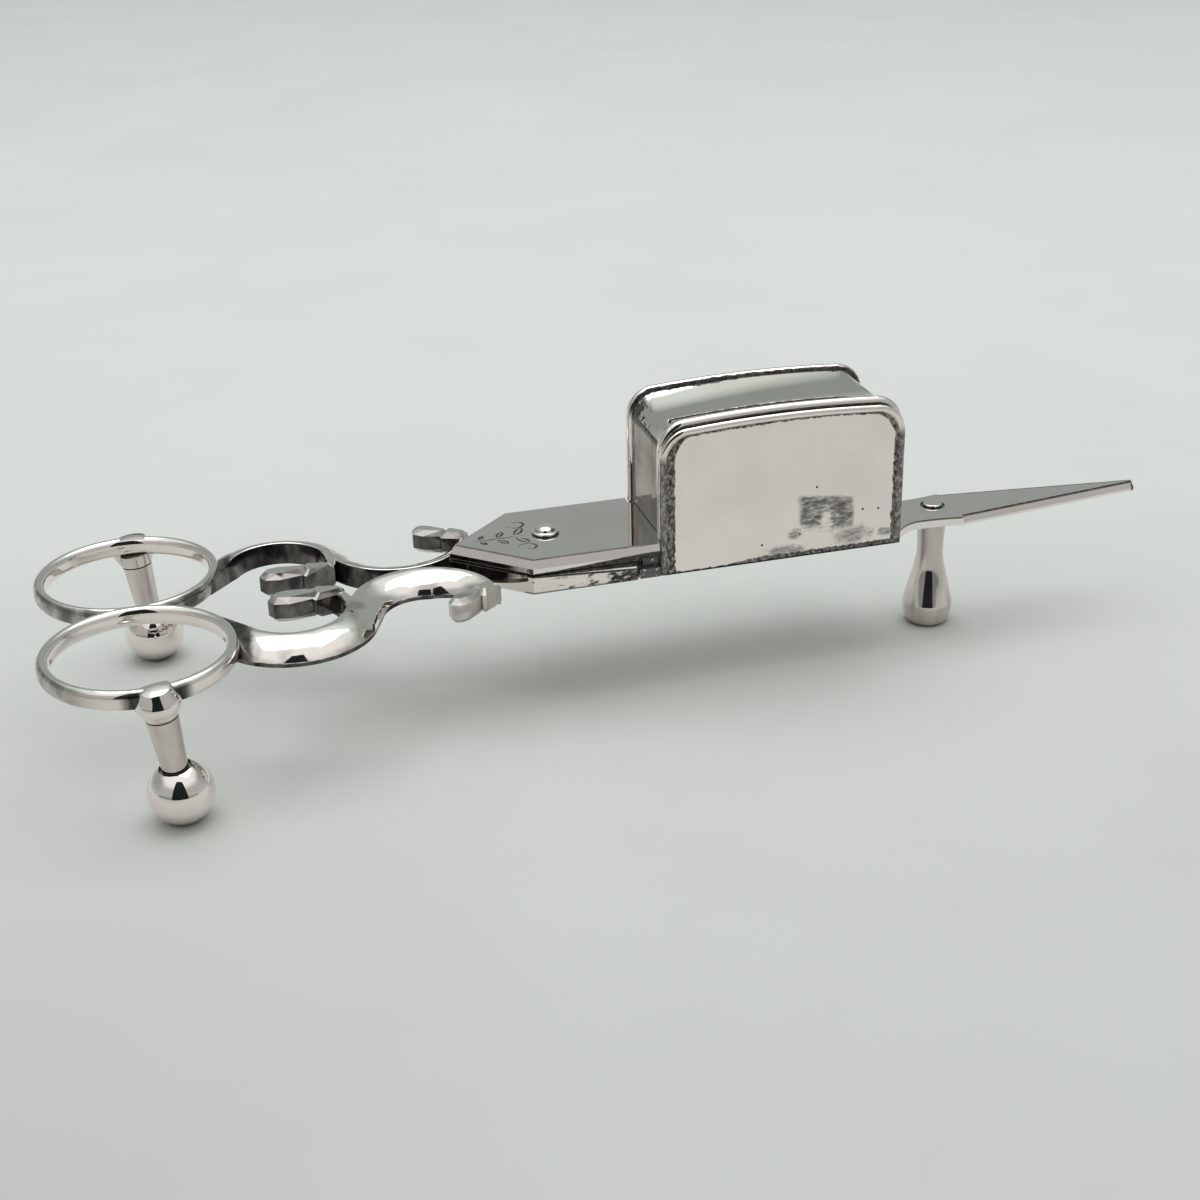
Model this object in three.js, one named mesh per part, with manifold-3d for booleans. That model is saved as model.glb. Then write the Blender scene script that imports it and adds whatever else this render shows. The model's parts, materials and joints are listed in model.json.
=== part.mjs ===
// Candle snuffer scissors in plated steel: two lapped arms on one rivet, a box that catches the snuff
// on one arm, a press plate that shuts the box on the other, and three feet to stand on.
// Millimetres, +Z up. While it is built, the pivot is at x = y = 0, +X runs to the point and z = 0 is the
// table.

import * as THREE from 'three';
import { mergeVertices } from 'three/addons/utils/BufferGeometryUtils.js';
import Module from 'manifold-3d';

const wasm = await Module();
wasm.setup();

// Clearances
const runningGap = 0.3;       // between pieces that move past each other
const seam = 0.1;             // between pieces that are soldered or riveted together
const jointGap = 0.3;         // where a handle is brazed to a curved piece

// Pivot plate and the leaf that laps under it
const plateTop = 24.6;        // height of the plate's face above the table
const upperThick = 2.3;
const lowerThick = 2.8;
const bevelOut = 0.6;
const bevelTall = 1.4;
const apexBack = 14.2;        // from the pivot back to the plate's point
const shoulderBack = 4.2;     // from the pivot back to the plate's shoulders
const lowerOut = 0.8;         // how far the lower leaf shows outside the face
const lapRadius = 10.8;       // round back of the lower leaf, which turns beside the upper arm's pad
const filedDeep = 0.9;        // filed edge along the leaf, which grows from its shoulder to the box
const filedTall = 1.3;

// Snuff box
const boxRear = 15.6;         // from the pivot to the box's rear edge
const boxLength = 39.6;
const boxTall = 19.5;         // above the plate's face
const boxHalf = 8.8;          // half width of the casing
const boxCorner = 4.8;
const boxCrown = 1.0;         // rise of the top edge at mid-length
const wallThick = 1.0;
const sideThick = 0.95;
const beadTall = 1.1;         // round border along the side plates' edge
const beadDrop = 1.0;         // from the wire's crest down to the border's
const beadProud = 0.25;       // the border outside the plate's face
const reedWide = 1.5;         // half-round wire along the casing's edges
const reedTall = 0.75;
const reedSeat = 0.2;         // solder under the wire
const channelDip = 1.6;       // depth of the hollow along the roof, at the rear
const channelRise = 0.6;      // how much shallower the hollow is at the front
const channelCorner = 2.4;    // corner radius at mid-width, where the corner is a facet
const cornerFlat = 0.8;       // share of that corner that is flattened

// Floor of the box and the point that grows out of it
const floorThick = 1.5;
const pressBladeWide = 1.7;   // strip of the press arm beside the floor
const tipReach = 45.5;        // from the box to the end of the point
const tipShoulder = 12.0;     // from the box to the point's shoulders
const tipHalf = 4.95;
const tipNeck = 5.0;          // from the box to the narrow neck behind the shoulders
const tipNeckHalf = 4.2;
const tipOffset = 1.9;        // the point lies nearer the closed side of the box
const tipRound = 0.8;
const groundOut = 0.5;        // ground edges of the point, which start with a step at its shoulders
const groundTall = 1.1;
const groundStep = 0.3;

// Front foot
const frontFootAhead = 9.5;   // from the box to the foot
const frontFootOffset = 0.9;
const frontFootBulb = 4.05;   // radii of the pear-shaped turning
const frontFootBase = 2.5;
const frontFootNeck = 2.15;
const frontFootHead = 2.45;
const frontFootBulbHeight = 3.8;
const frontFootNeckHeight = 13.5;
const footRivetRadius = 1.0;
const footRivetHead = 1.5;
const footRivetHeadTall = 0.35;
const footRivetDeep = 3.0;

// Pivot rivet
const rivetRadius = 1.4;
const rivetDome = 0.7;
const washerRadius = 2.15;
const washerThick = 0.4;
const burrRadius = 2.6;
const burrThick = 0.6;
const rivetTailRadius = 2.1;

// Handles: each is a pair of C-scrolls between the plate and an oval finger bow
const handleMid = 20.05;      // mean height of the two handles' middles
const handleStep = 0.5;       // one handle lies this much above the mean, the other below
const shankTall = 3.3;
const shankTop = 0.75;        // width of the narrow flat on top
const shankBase = 4.7;        // width at the foot of the sloping outer face
const shankShoulder = 0.9;    // how far down the outer face is fullest
const shankLean = 0.6;        // how far the inner face leans out to its foot
const waistHalf = 1.1;        // from the middle line to the crest where the handles come closest
const waistBack = 21.4;       // from the pivot to that place
const frontScroll = 11.0;     // radius of the crest of the scroll next to the plate
const rearScroll = 7.5;       // radius of the crest of the scroll next to the bow
const rearScrollOut = 9.6;    // from the middle line to the rear scroll's centre
const scrollGap = 0.65;       // between the two scrolls' circles, where the crest runs straight
const bowRadius = 14.1;
const bowGap = 0.2;           // from the middle line to each bow
const bowStand = 1.4;         // between the rear scroll's circle and the bow
const bandWide = 1.9;
const bandTall = 2.9;
const bandRound = 0.85;
const curlWide = 1.5;         // narrow end of the rear scroll, which curls on to its bud
const rearTurn = 0.52;        // radians past straight ahead where the rear scroll meets its bud
const frontTurn = 0.1;        // radians short of straight ahead where the front scroll meets its bud
const taperStart = 0.55;      // share of the front scroll that is full width, and the width at its end
const taperEnd = 0.45;
const rearBudLength = 10.4;   // leaf-bud ends of the scrolls, with half their width and that of their necks
const rearBudHalf = 2.0;
const rearBudNeck = 0.65;
const frontBudLength = 8.2;
const frontBudHalf = 1.65;
const frontBudNeck = 1.2;
const frontBudTurn = 0.55;    // radians from straight back to the front bud's heading
const budNotch = 0.37;        // share of a bud's length from its neck to the notch between its lobes
const budRise = 0.6;          // buds stand this much above the shank
const budRound = 0.4;
const budTip = 1.5;           // length of a bud's rounded end in half widths
const webStart = 0.5;         // from the leaf's point along its edge to the shank's foot
const webLength = 4.6;        // length of that foot, which is brazed to the edge

// Feet under the bows
const footTurn = 0.12;        // radians from the side of the bow towards the point
const bossMid = 3.3;          // radii of the barrel on the bow
const bossTop = 2.3;
const bossBottom = 2.5;
const bossTall = 4.6;
const bossDrop = 0.8;         // the barrel's middle lies this far under the bow's
const footLeanX = 1.5;        // how far the foot leans forward and inward on its way down
const footLeanY = 1.2;
const stemTop = 2.3;
const stemBottom = 1.85;
const ballRadius = 4.8;
const ballFlat = 0.15;        // depth of the flat under the ball
const ballSeat = 2.15;        // radius of the flat that takes the stem

// Facets
const roundSides = 24;
const smallSides = 16;
const bowSides = 40;
const arcSteps = 8;
const profileSteps = 12;
const scrollSteps = 14;
const bandSteps = 2;
const weld = 1e-5;            // corners closer than this are one corner

// Sizes that follow
const upperUnder = plateTop - upperThick;
const lowerTop = upperUnder - runningGap;
const bladeUnder = lowerTop - lowerThick;
const floorTop = bladeUnder + floorThick;
const boxFront = boxRear + boxLength;
const boxTop = plateTop + boxTall;
const leafArc = boxRear - 2 * seam;
const floorArc = leafArc + runningGap;
const padArc = lapRadius + runningGap;
const splitHalf = runningGap / 2;
const sideInner = boxHalf + seam;
const sideOuter = sideInner + sideThick;
const pressInner = boxHalf + runningGap;
const pressBladeFar = pressInner - seam;
const pressBladeNear = pressBladeFar - pressBladeWide;
const floorFar = pressBladeNear - runningGap;
const stripTop = floorTop + seam - runningGap;
const plateOut = sideOuter;
const plateHalf = plateOut - bevelOut;
const lowerHalf = plateHalf + lowerOut;
const plateEnd = boxRear + reedTall + 2 * wallThick;
const plateFront = boxRear - seam;
const pressReach = Math.hypot(plateFront, Math.max(plateOut, pressInner)) + runningGap;
const pressRear = Math.sqrt(pressReach ** 2 - pressInner ** 2);
const leafEnd = pressRear - runningGap;
const tipEnd = boxFront + tipReach;
const frontFootX = boxFront + frontFootAhead;
const frontFootPlace = [frontFootX, -frontFootOffset, 0];
const holeRadius = rivetRadius + seam;
const washerLow = plateTop + seam;
const burrHigh = bladeUnder - seam;
const footHoleRadius = footRivetRadius + seam;

// The plate's slanting rear edges: their direction, and the points where they meet behind the pivot
const slant = new THREE.Vector2(apexBack - shoulderBack, plateHalf).normalize();
const leafApex = apexBack + lowerOut / slant.y;
const plateApex = apexBack + bevelOut / slant.y;
const shoulderOf = (half) => half * slant.x / slant.y;

// Scroll and bow centres, in the plan of one handle
const frontCentre = new THREE.Vector2(-waistBack, waistHalf + frontScroll);
const scrollSpan = rearScroll + frontScroll + scrollGap;
const rearCentre = new THREE.Vector2(
  frontCentre.x - Math.sqrt(scrollSpan ** 2 - (frontCentre.y - rearScrollOut) ** 2),
  rearScrollOut,
);
const bowY = bowRadius + bowGap;
const bowSpan = rearScroll + bowRadius + bowStand;
const bowCentre = new THREE.Vector2(
  rearCentre.x - Math.sqrt(bowSpan ** 2 - (bowY - rearCentre.y) ** 2),
  bowY,
);
const bowEnd = bowCentre.x - bowRadius;
const midLength = (tipEnd + bowEnd) / 2;

// Finishes
const silver = new THREE.MeshStandardMaterial({ color: 0xe4e0db, roughness: 0.12, metalness: 1 });
const brightSteel = new THREE.MeshStandardMaterial({ color: 0xc9cac8, roughness: 0.2, metalness: 1 });
const innerMetal = new THREE.MeshStandardMaterial({ color: 0xb9b5ae, roughness: 0.28, metalness: 1 });

// Solids from three.js geometry
function solid(geometry) {
  const bare = geometry.index ? geometry.toNonIndexed() : geometry.clone();
  bare.deleteAttribute('normal');
  bare.deleteAttribute('uv');
  const welded = mergeVertices(bare, weld);
  const corners = welded.index.array;
  const triangles = [];
  for (let i = 0; i < corners.length; i += 3) {
    const [a, b, c] = corners.slice(i, i + 3);
    if (a !== b && b !== c && c !== a) triangles.push(a, b, c);
  }
  const vertProperties = Float32Array.from(welded.attributes.position.array);
  const triVerts = Uint32Array.from(triangles);
  return new wasm.Manifold(new wasm.Mesh({ numProp: 3, vertProperties, triVerts }));
}

function named(name, body, material) {
  const { numProp, vertProperties, triVerts } = body.getMesh();
  const place = new THREE.BufferAttribute(Float32Array.from(vertProperties), numProp);
  const geometry = new THREE.BufferGeometry();
  geometry.setAttribute('position', place);
  geometry.setIndex(Array.from(triVerts));
  geometry.computeVertexNormals();
  const mesh = new THREE.Mesh(geometry, material);
  mesh.name = name;
  return mesh;
}

// A plan outline raised from one height to another
function raised(shape, low, high, curveSegments = arcSteps) {
  const options = { depth: high - low, bevelEnabled: false, curveSegments };
  const geometry = new THREE.ExtrudeGeometry(shape, options);
  geometry.translate(0, 0, low);
  return solid(geometry);
}

// A profile of [radius, height] points turned about the vertical axis
function turned(profile, sides) {
  const geometry = new THREE.LatheGeometry(profile, sides);
  geometry.rotateX(Math.PI / 2);
  return solid(geometry);
}

// Directions to the left of a line at each of its points
function leftOf(line) {
  return line.map((_, k) => {
    const ahead = line[Math.min(k + 1, line.length - 1)].clone().sub(line[Math.max(k - 1, 0)]);
    return new THREE.Vector2(-ahead.y, ahead.x).normalize();
  });
}

// A body through sections of as many points each, all anticlockwise, with each point put in its place
function loft(sections, place, mirrored = false) {
  const count = sections[0].length;
  const end = sections.length - 1;
  const faces = [];
  for (let k = 0; k < end; k++) {
    for (let i = 0; i < count; i++) {
      const a = k * count + i;
      const b = k * count + (i + 1) % count;
      faces.push(a, b, b + count, a, b + count, a + count);
    }
  }
  for (const [a, b, c] of THREE.ShapeUtils.triangulateShape([...sections[0]], [])) faces.push(a, c, b);
  for (const cap of THREE.ShapeUtils.triangulateShape([...sections[end]], [])) {
    faces.push(...cap.map((corner) => end * count + corner));
  }
  if (mirrored) faces.reverse();
  const points = sections.flatMap((section, k) => section.map((p) => place(p, k)));
  const geometry = new THREE.BufferGeometry().setFromPoints(points);
  geometry.setIndex(faces);
  return solid(geometry);
}

function arcPoints(x, y, radius, from, to, steps) {
  const points = [];
  for (let i = 0; i <= steps; i++) {
    const angle = from + (to - from) * i / steps;
    points.push(new THREE.Vector2(x + radius * Math.cos(angle), y + radius * Math.sin(angle)));
  }
  return points;
}

function pin(radius, low, high, sides = smallSides) {
  const rod = new THREE.CylinderGeometry(radius, radius, high - low, sides);
  rod.rotateX(Math.PI / 2);
  rod.translate(0, 0, (low + high) / 2);
  return solid(rod);
}

// A layer between two heights that reaches past everything, for trimming
function layer(low, high) {
  const across = 2 * (tipEnd - bowEnd);
  const box = new THREE.BoxGeometry(across, across, high - low);
  box.translate(0, 0, (low + high) / 2);
  return solid(box);
}

// Points of a dome from its rim to its middle, upwards or, with a negative rise, downwards
function dome(radius, rise, rim) {
  const points = arcPoints(0, 0, 1, 0, Math.PI / 2, arcSteps / 2);
  points.at(-1).x = 0;
  return points.map(({ x, y }) => new THREE.Vector2(radius * x, rim + rise * y));
}

// Arched outline of the box from its rear foot over the crowned top to its front foot, in x and z. The top
// can lie lower by a drop at each x, and the round corners can turn into the channel's facets by a share.
function arch(rear, front, inset, rearFoot, frontFoot, drop = () => 0, hollow = 0) {
  const radius = boxCorner + hollow * (channelCorner - boxCorner) - inset;
  const middle = (boxRear + boxFront) / 2;
  const topAt = (x) => boxTop - inset - drop(x) - boxCrown * ((x - middle) / (boxLength / 2)) ** 2;
  const corner = (x, from, to) => {
    const round = arcPoints(x, topAt(x) - radius, radius, from, to, arcSteps);
    const chord = new THREE.LineCurve(round[0], round.at(-1));
    return round.map((p, i) => p.clone().lerp(chord.getPoint(i / arcSteps), hollow * cornerFlat));
  };
  const rearX = rear + inset + radius;
  const frontX = front - inset - radius;
  const points = [new THREE.Vector2(rear + inset, rearFoot), ...corner(rearX, Math.PI, Math.PI / 2)];
  for (let i = 1; i < arcSteps; i++) {
    const x = rearX + (frontX - rearX) * i / arcSteps;
    points.push(new THREE.Vector2(x, topAt(x)));
  }
  points.push(...corner(frontX, Math.PI / 2, 0), new THREE.Vector2(front - inset, frontFoot));
  return points;
}

// Upper arm: pivot plate with bevelled edges, the pad behind it, and the floor and point in front
function pivotPlate() {
  const face = new THREE.Shape();
  face.moveTo(-plateApex, 0);
  face.lineTo(shoulderOf(plateOut) - plateApex, -plateOut);
  face.lineTo(plateFront, -plateOut);
  face.lineTo(plateFront, plateOut);
  face.lineTo(shoulderOf(plateOut) - plateApex, plateOut);
  const bevelled = new THREE.ExtrudeGeometry(face, {
    depth: upperThick,
    bevelThickness: bevelTall,
    bevelSize: bevelOut,
    bevelOffset: -bevelOut,
    bevelSegments: 1,
  });
  bevelled.translate(0, 0, upperUnder - bevelTall);
  const tongue = new THREE.Shape();
  tongue.moveTo(0, -boxHalf);
  tongue.lineTo(plateEnd, -boxHalf);
  tongue.lineTo(plateEnd, floorFar);
  tongue.lineTo(0, floorFar);
  const below = layer(upperUnder - 2 * bevelTall, upperUnder);
  return solid(bevelled).subtract(below).add(raised(tongue, upperUnder, plateTop));
}

function lapPad() {
  const length = slant.x * leafApex;
  const reach = length - Math.sqrt(length ** 2 - leafApex ** 2 + padArc ** 2);
  const cornerX = reach * slant.x - leafApex;
  const cornerY = reach * slant.y;
  const outline = new THREE.Shape();
  outline.moveTo(splitHalf * slant.x / slant.y - leafApex, splitHalf);
  outline.lineTo(-padArc, splitHalf);
  outline.absarc(0, 0, padArc, Math.PI - splitHalf / padArc, Math.atan2(cornerY, cornerX), true);
  return raised(outline, bladeUnder, upperUnder + seam);
}

function rearEdge(outline) {
  const nearAngle = -Math.asin(plateOut / floorArc);
  const farAngle = Math.asin(floorFar / floorArc);
  outline.absarc(0, 0, floorArc, farAngle, nearAngle, true);
  outline.lineTo(plateFront, -plateOut);
  outline.lineTo(plateFront, -boxHalf);
}

// Block that joins the floor to the plate, cut back above the line of the leaf's filed edge
function riser() {
  const filedLow = lowerTop - filedTall;
  const lower = new THREE.Shape();
  rearEdge(lower);
  lower.lineTo(plateEnd, -boxHalf);
  lower.lineTo(plateEnd, floorFar);
  const upper = new THREE.Shape();
  upper.absarc(0, 0, floorArc, Math.asin(floorFar / floorArc), -Math.asin(boxHalf / floorArc), true);
  upper.lineTo(plateEnd, -boxHalf);
  upper.lineTo(plateEnd, floorFar);
  return raised(lower, bladeUnder, filedLow).add(raised(upper, filedLow - seam, upperUnder + seam));
}

// Floor of the box and the point, with the point's straight edges drawn in by their grinding
function pointOutline(ground) {
  const neckX = boxFront + tipNeck;
  const shoulderX = boxFront + tipShoulder;
  const groundX = shoulderX + groundStep;
  const turnX = (neckX + shoulderX) / 2;
  const nearNeck = -tipOffset - tipNeckHalf;
  const farNeck = tipNeckHalf - tipOffset;
  const outline = new THREE.Shape();
  rearEdge(outline);
  outline.lineTo(boxFront + seam, -boxHalf);
  outline.quadraticCurveTo(neckX - tipNeck / 2, nearNeck, neckX, nearNeck);
  outline.quadraticCurveTo(turnX, nearNeck, shoulderX, -tipOffset - tipHalf);
  outline.lineTo(groundX, ground - tipOffset - tipHalf);
  outline.absarc(tipEnd - tipRound, -tipOffset, tipRound - ground, -Math.PI / 2, Math.PI / 2, false);
  outline.lineTo(groundX, tipHalf - tipOffset - ground);
  outline.lineTo(shoulderX, tipHalf - tipOffset);
  outline.quadraticCurveTo(turnX, farNeck, neckX, farNeck);
  outline.quadraticCurveTo(neckX - tipNeck / 2, farNeck, boxFront + seam, floorFar);
  return outline.getPoints(arcSteps);
}

function floorAndPoint() {
  const levels = [bladeUnder, floorTop - groundTall, floorTop];
  const sections = [0, 0, groundOut].map(pointOutline);
  return loft(sections, (p, k) => new THREE.Vector3(p.x, p.y, levels[k]));
}

function boxArmBlade() {
  const footHole = pin(footHoleRadius, bladeUnder - seam, floorTop + seam).translate(frontFootPlace);
  const pivotHole = pin(holeRadius, bladeUnder, plateTop + seam);
  const blade = pivotPlate().add(lapPad()).add(riser()).add(floorAndPoint());
  return blade.subtract(footHole).subtract(pivotHole);
}

// Lower arm: the leaf under the plate, filed along its near edge, and the strip that carries the press plate
function pressArmBlade() {
  const outline = new THREE.Shape();
  const nearAngle = -Math.asin(lowerHalf / leafArc);
  const farAngle = Math.asin(pressBladeNear / leafArc);
  const backEdge = Math.min(lowerHalf, lapRadius);
  const rearAngle = Math.PI - Math.asin(backEdge / lapRadius);
  outline.absarc(0, 0, leafArc, nearAngle, farAngle, false);
  outline.lineTo(leafEnd, pressBladeNear);
  outline.lineTo(leafEnd, backEdge);
  outline.absarc(0, 0, lapRadius, rearAngle, Math.PI + splitHalf / lapRadius, false);
  outline.lineTo(splitHalf * slant.x / slant.y - leafApex, -splitHalf);
  outline.lineTo(shoulderOf(lowerHalf) - leafApex, -lowerHalf);
  const edge = outline.getPoints(arcSteps);
  const [nearEnd] = edge;
  const heights = [bladeUnder, lowerTop - seam, lowerTop];
  const filed = [[0, 0], [0, seam - filedTall], [filedDeep, 0]];
  const leaf = loft([edge, edge, edge], (p, k) => {
    const place = new THREE.Vector3(p.x, p.y, heights[k]);
    const [inward, upward] = p === nearEnd ? filed[k] : [0, 0];
    return place.add(new THREE.Vector3(0, inward, upward));
  });
  const strip = new THREE.Shape();
  strip.moveTo(0, pressBladeNear);
  strip.lineTo(boxFront, pressBladeNear);
  strip.lineTo(boxFront, pressBladeFar);
  strip.lineTo(0, pressBladeFar);
  const hole = pin(holeRadius + seam, bladeUnder - seam, lowerTop + seam);
  return leaf.add(raised(strip, bladeUnder, stripTop)).subtract(hole);
}

// Casing: rear wall, roof and front wall in one strip, with the roof hollowed along its middle
function boxCasing() {
  const channelHalf = boxHalf - reedWide;
  const rows = 2 * Math.round(boxHalf / reedWide);
  const across = [];
  const sections = [];
  for (let k = 0; k <= rows; k++) {
    const y = boxHalf * (1 - 2 * k / rows);
    const hollow = 1 - Math.min(Math.abs(y) / channelHalf, 1) ** 2;
    const drop = (x) => hollow * (channelDip - channelRise * (x - boxRear) / boxLength);
    const skin = (inset) => {
      const feet = [plateTop + seam, floorTop + seam];
      return arch(boxRear, boxFront, inset, ...feet, drop, hollow);
    };
    across.push(y);
    sections.push([...skin(reedTall + wallThick), ...skin(reedTall).reverse()]);
  }
  return loft(sections, (p, k) => new THREE.Vector3(p.x, across[k], p.y));
}

// A wire along an arched outline at one y, from its section in the directions outward and across
function wire(outline, y, section) {
  const outward = leftOf(outline);
  return loft(outline.map(() => section), (p, k) => {
    const place = outline[k].clone().addScaledVector(outward[k], p.x);
    return new THREE.Vector3(place.x, y - p.y, place.y);
  });
}

// Half-round wire along one edge of the casing, side -1 near the closed side and 1 near the press plate
function reed(side) {
  const lift = reedTall - reedSeat;
  const outline = arch(boxRear, boxFront, lift, plateTop + reedSeat, floorTop + reedSeat);
  const half = new THREE.EllipseCurve(0, 0, lift, reedWide / 2, -Math.PI / 2, Math.PI / 2);
  return wire(outline, side * (boxHalf - reedWide / 2), half.getPoints(arcSteps));
}

// Flat plate with a round border along its arched edge, on the side -1 or 1 of the box
function sidePlate(rear, inner, side) {
  const edge = (inset, foot) => arch(rear, boxFront, inset, foot, foot, () => beadDrop);
  const depth = sideThick - beadProud;
  const outline = new THREE.Shape(edge(beadTall / 2 + beadProud, bladeUnder));
  const sheet = new THREE.ExtrudeGeometry(outline, { depth, bevelEnabled: false });
  sheet.rotateX(Math.PI / 2);
  sheet.translate(0, side > 0 ? inner + depth : -inner, 0);
  const beadHalf = (sideThick - seam) / 2;
  const round = new THREE.EllipseCurve(0, 0, beadTall / 2, beadHalf).getPoints(arcSteps).slice(1);
  const bead = wire(edge(beadTall / 2, bladeUnder + seam), side * (inner + seam + beadHalf), round);
  return solid(sheet).add(bead);
}

// Pear-shaped front foot with a socket for its rivet
function frontFoot() {
  const top = bladeUnder - seam;
  const waistRadius = (frontFootBulb + frontFootNeck) / 2;
  const waistHeight = (2 * frontFootBulbHeight + frontFootNeckHeight) / 3;
  const outline = new THREE.SplineCurve([
    new THREE.Vector2(frontFootBase, 0),
    new THREE.Vector2(frontFootBulb, frontFootBulbHeight),
    new THREE.Vector2(waistRadius, waistHeight),
    new THREE.Vector2(frontFootNeck, frontFootNeckHeight),
    new THREE.Vector2(frontFootHead, top),
  ]);
  const socketFloor = top - footRivetDeep;
  const profile = [
    new THREE.Vector2(0, 0),
    ...outline.getPoints(profileSteps),
    new THREE.Vector2(footHoleRadius, top),
    new THREE.Vector2(footHoleRadius, socketFloor),
    new THREE.Vector2(0, socketFloor),
  ];
  return turned(profile, roundSides);
}

function frontFootRivet() {
  const bottom = bladeUnder - footRivetDeep;
  const head = floorTop + seam;
  const profile = [
    new THREE.Vector2(0, bottom),
    new THREE.Vector2(footRivetRadius, bottom),
    new THREE.Vector2(footRivetRadius, head),
    new THREE.Vector2(footRivetHead, head),
    new THREE.Vector2(footRivetHead, head + footRivetHeadTall / 2),
    new THREE.Vector2(footRivetHead - footRivetHeadTall / 2, head + footRivetHeadTall),
    new THREE.Vector2(0, head + footRivetHeadTall),
  ];
  return turned(profile, smallSides);
}

// Domed pivot rivet, closed over a washer on top and a burr underneath
function pivotRivet() {
  const tail = burrHigh - burrThick - seam;
  const shoulder = washerLow + washerThick;
  const profile = [
    ...dome(rivetTailRadius, -rivetDome, tail).reverse(),
    new THREE.Vector2(rivetRadius, tail),
    ...dome(rivetRadius, rivetDome, shoulder),
  ];
  return turned(profile, smallSides);
}

function ring(inner, outer, low, high) {
  const profile = [
    new THREE.Vector2(inner, low),
    new THREE.Vector2(outer, low),
    new THREE.Vector2(outer, (low + high) / 2),
    new THREE.Vector2(outer - (high - low) / 2, high),
    new THREE.Vector2(inner, high),
    new THREE.Vector2(inner, low),
  ];
  return turned(profile, smallSides);
}

// One handle, side 1 on the far side of the middle line and -1 on the near side
function handle(side, label, middle) {
  const top = middle + shankTall / 2;
  const under = middle - shankTall / 2;
  const flip = ({ x, y }) => new THREE.Vector2(x, side * y);
  const plan = (points) => new THREE.Shape(points.map(flip));

  const along = (centre, radius, angle) => arcPoints(centre.x, centre.y, radius, angle, angle, 1)[0];
  const round = (centre, radius, from, to) => arcPoints(centre.x, centre.y, radius, from, to, scrollSteps);

  // The crest leaves the bow straight, turns round the rear scroll, and crosses to the front scroll
  const toBow = Math.atan2(bowCentre.y - rearCentre.y, bowCentre.x - rearCentre.x);
  const toFront = Math.atan2(frontCentre.y - rearCentre.y, frontCentre.x - rearCentre.x);
  const meet = toBow - Math.acos((rearScroll + bowRadius) / bowSpan);
  const leave = toFront + Math.acos((rearScroll + frontScroll) / scrollSpan);
  const crest = [
    along(bowCentre, bowRadius, meet - Math.PI),
    ...round(rearCentre, rearScroll, meet, leave),
    ...round(frontCentre, frontScroll, leave - Math.PI, -frontTurn),
  ];
  const outward = leftOf(crest);

  // Section of the shank: leaning inner face, narrow flat on top, rounded slope outside
  const section = (_, k) => {
    const front = 1 - (crest.length - 1 - k) / scrollSteps;
    const tapered = Math.max(front - taperStart, 0) / (1 - taperStart);
    const width = 1 - tapered * (1 - taperEnd);
    const slope = new THREE.QuadraticBezierCurve(
      new THREE.Vector2(width * shankBase, -shankTall),
      new THREE.Vector2(width * shankBase, -shankShoulder),
      new THREE.Vector2(width * shankTop, 0),
    );
    const foot = new THREE.Vector2(-shankLean, -shankTall);
    return [foot, ...slope.getPoints(arcSteps / 2), new THREE.Vector2(0, 0)];
  };
  const ribbon = loft(crest.map(section), (p, k) => {
    const place = crest[k].clone().addScaledVector(outward[k], p.x);
    return new THREE.Vector3(place.x, side * place.y, top + p.y);
  }, side < 0);
  const curl = raised(plan([
    ...round(rearCentre, rearScroll + curlWide, -rearTurn, leave),
    ...round(rearCentre, rearScroll, leave, -rearTurn),
  ]), under, top);

  // One lobe of a leaf bud along +X, from its narrow start to its end
  const lobe = (start, end, narrow, wide, rounded) => {
    const leaf = new THREE.Shape();
    leaf.moveTo(start, -narrow);
    if (rounded) {
      leaf.lineTo(end - budTip * wide, -wide);
      leaf.quadraticCurveTo(end, -wide, end, 0);
      leaf.quadraticCurveTo(end, wide, end - budTip * wide, wide);
    } else {
      leaf.lineTo(end, -wide);
      leaf.lineTo(end, wide);
    }
    leaf.lineTo(start, narrow);
    return leaf.getPoints(arcSteps / 2);
  };

  // Leaf bud with two lobes and bevelled edges, set down with its neck at a place in the plan
  const bud = (length, half, neck, place, heading) => {
    const notch = budNotch * length;
    const origin = new THREE.Vector2();
    const lobes = [
      lobe(-half / 2, notch, neck, half, false),
      lobe(notch - half / 2, length, half / 2, half, true),
    ].map((outline) => {
      const set = outline.map((p) => p.rotateAround(origin, heading).add(place));
      const geometry = new THREE.ExtrudeGeometry(plan(set), {
        depth: shankTall + budRise - 2 * budRound,
        bevelThickness: budRound,
        bevelSize: budRound,
        bevelOffset: -budRound,
        bevelSegments: 1,
      });
      geometry.translate(0, 0, under + budRound);
      return solid(geometry);
    });
    return lobes[0].add(lobes[1]);
  };
  const rearEnd = along(rearCentre, rearScroll + curlWide / 2, -rearTurn);
  const frontEnd = along(frontCentre, frontScroll - curlWide / 2, -frontTurn);
  const rearBud = bud(rearBudLength, rearBudHalf, rearBudNeck, rearEnd, Math.PI);
  const frontHeading = Math.PI - frontBudTurn;
  const frontBud = bud(frontBudLength, frontBudHalf, frontBudNeck, frontEnd, frontHeading);

  // Foot of the shank, flat against the plate's slanting edge
  const webLow = Math.max(under, bladeUnder) + seam;
  const webHigh = Math.min(top, lowerTop) - seam;
  const across = new THREE.Vector2(-slant.y, slant.x);
  const edge = (distance, out) => new THREE.Vector2(
    distance * slant.x + out * across.x - leafApex,
    distance * slant.y + out * across.y,
  );
  const web = plan([
    edge(webStart, seam),
    edge(webStart + webLength, seam),
    edge(webStart + webLength, shankBase / 2 + seam),
    edge(webStart, shankBase / 2 + seam),
  ]);
  const webBody = raised(web, webLow, webHigh);

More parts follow.
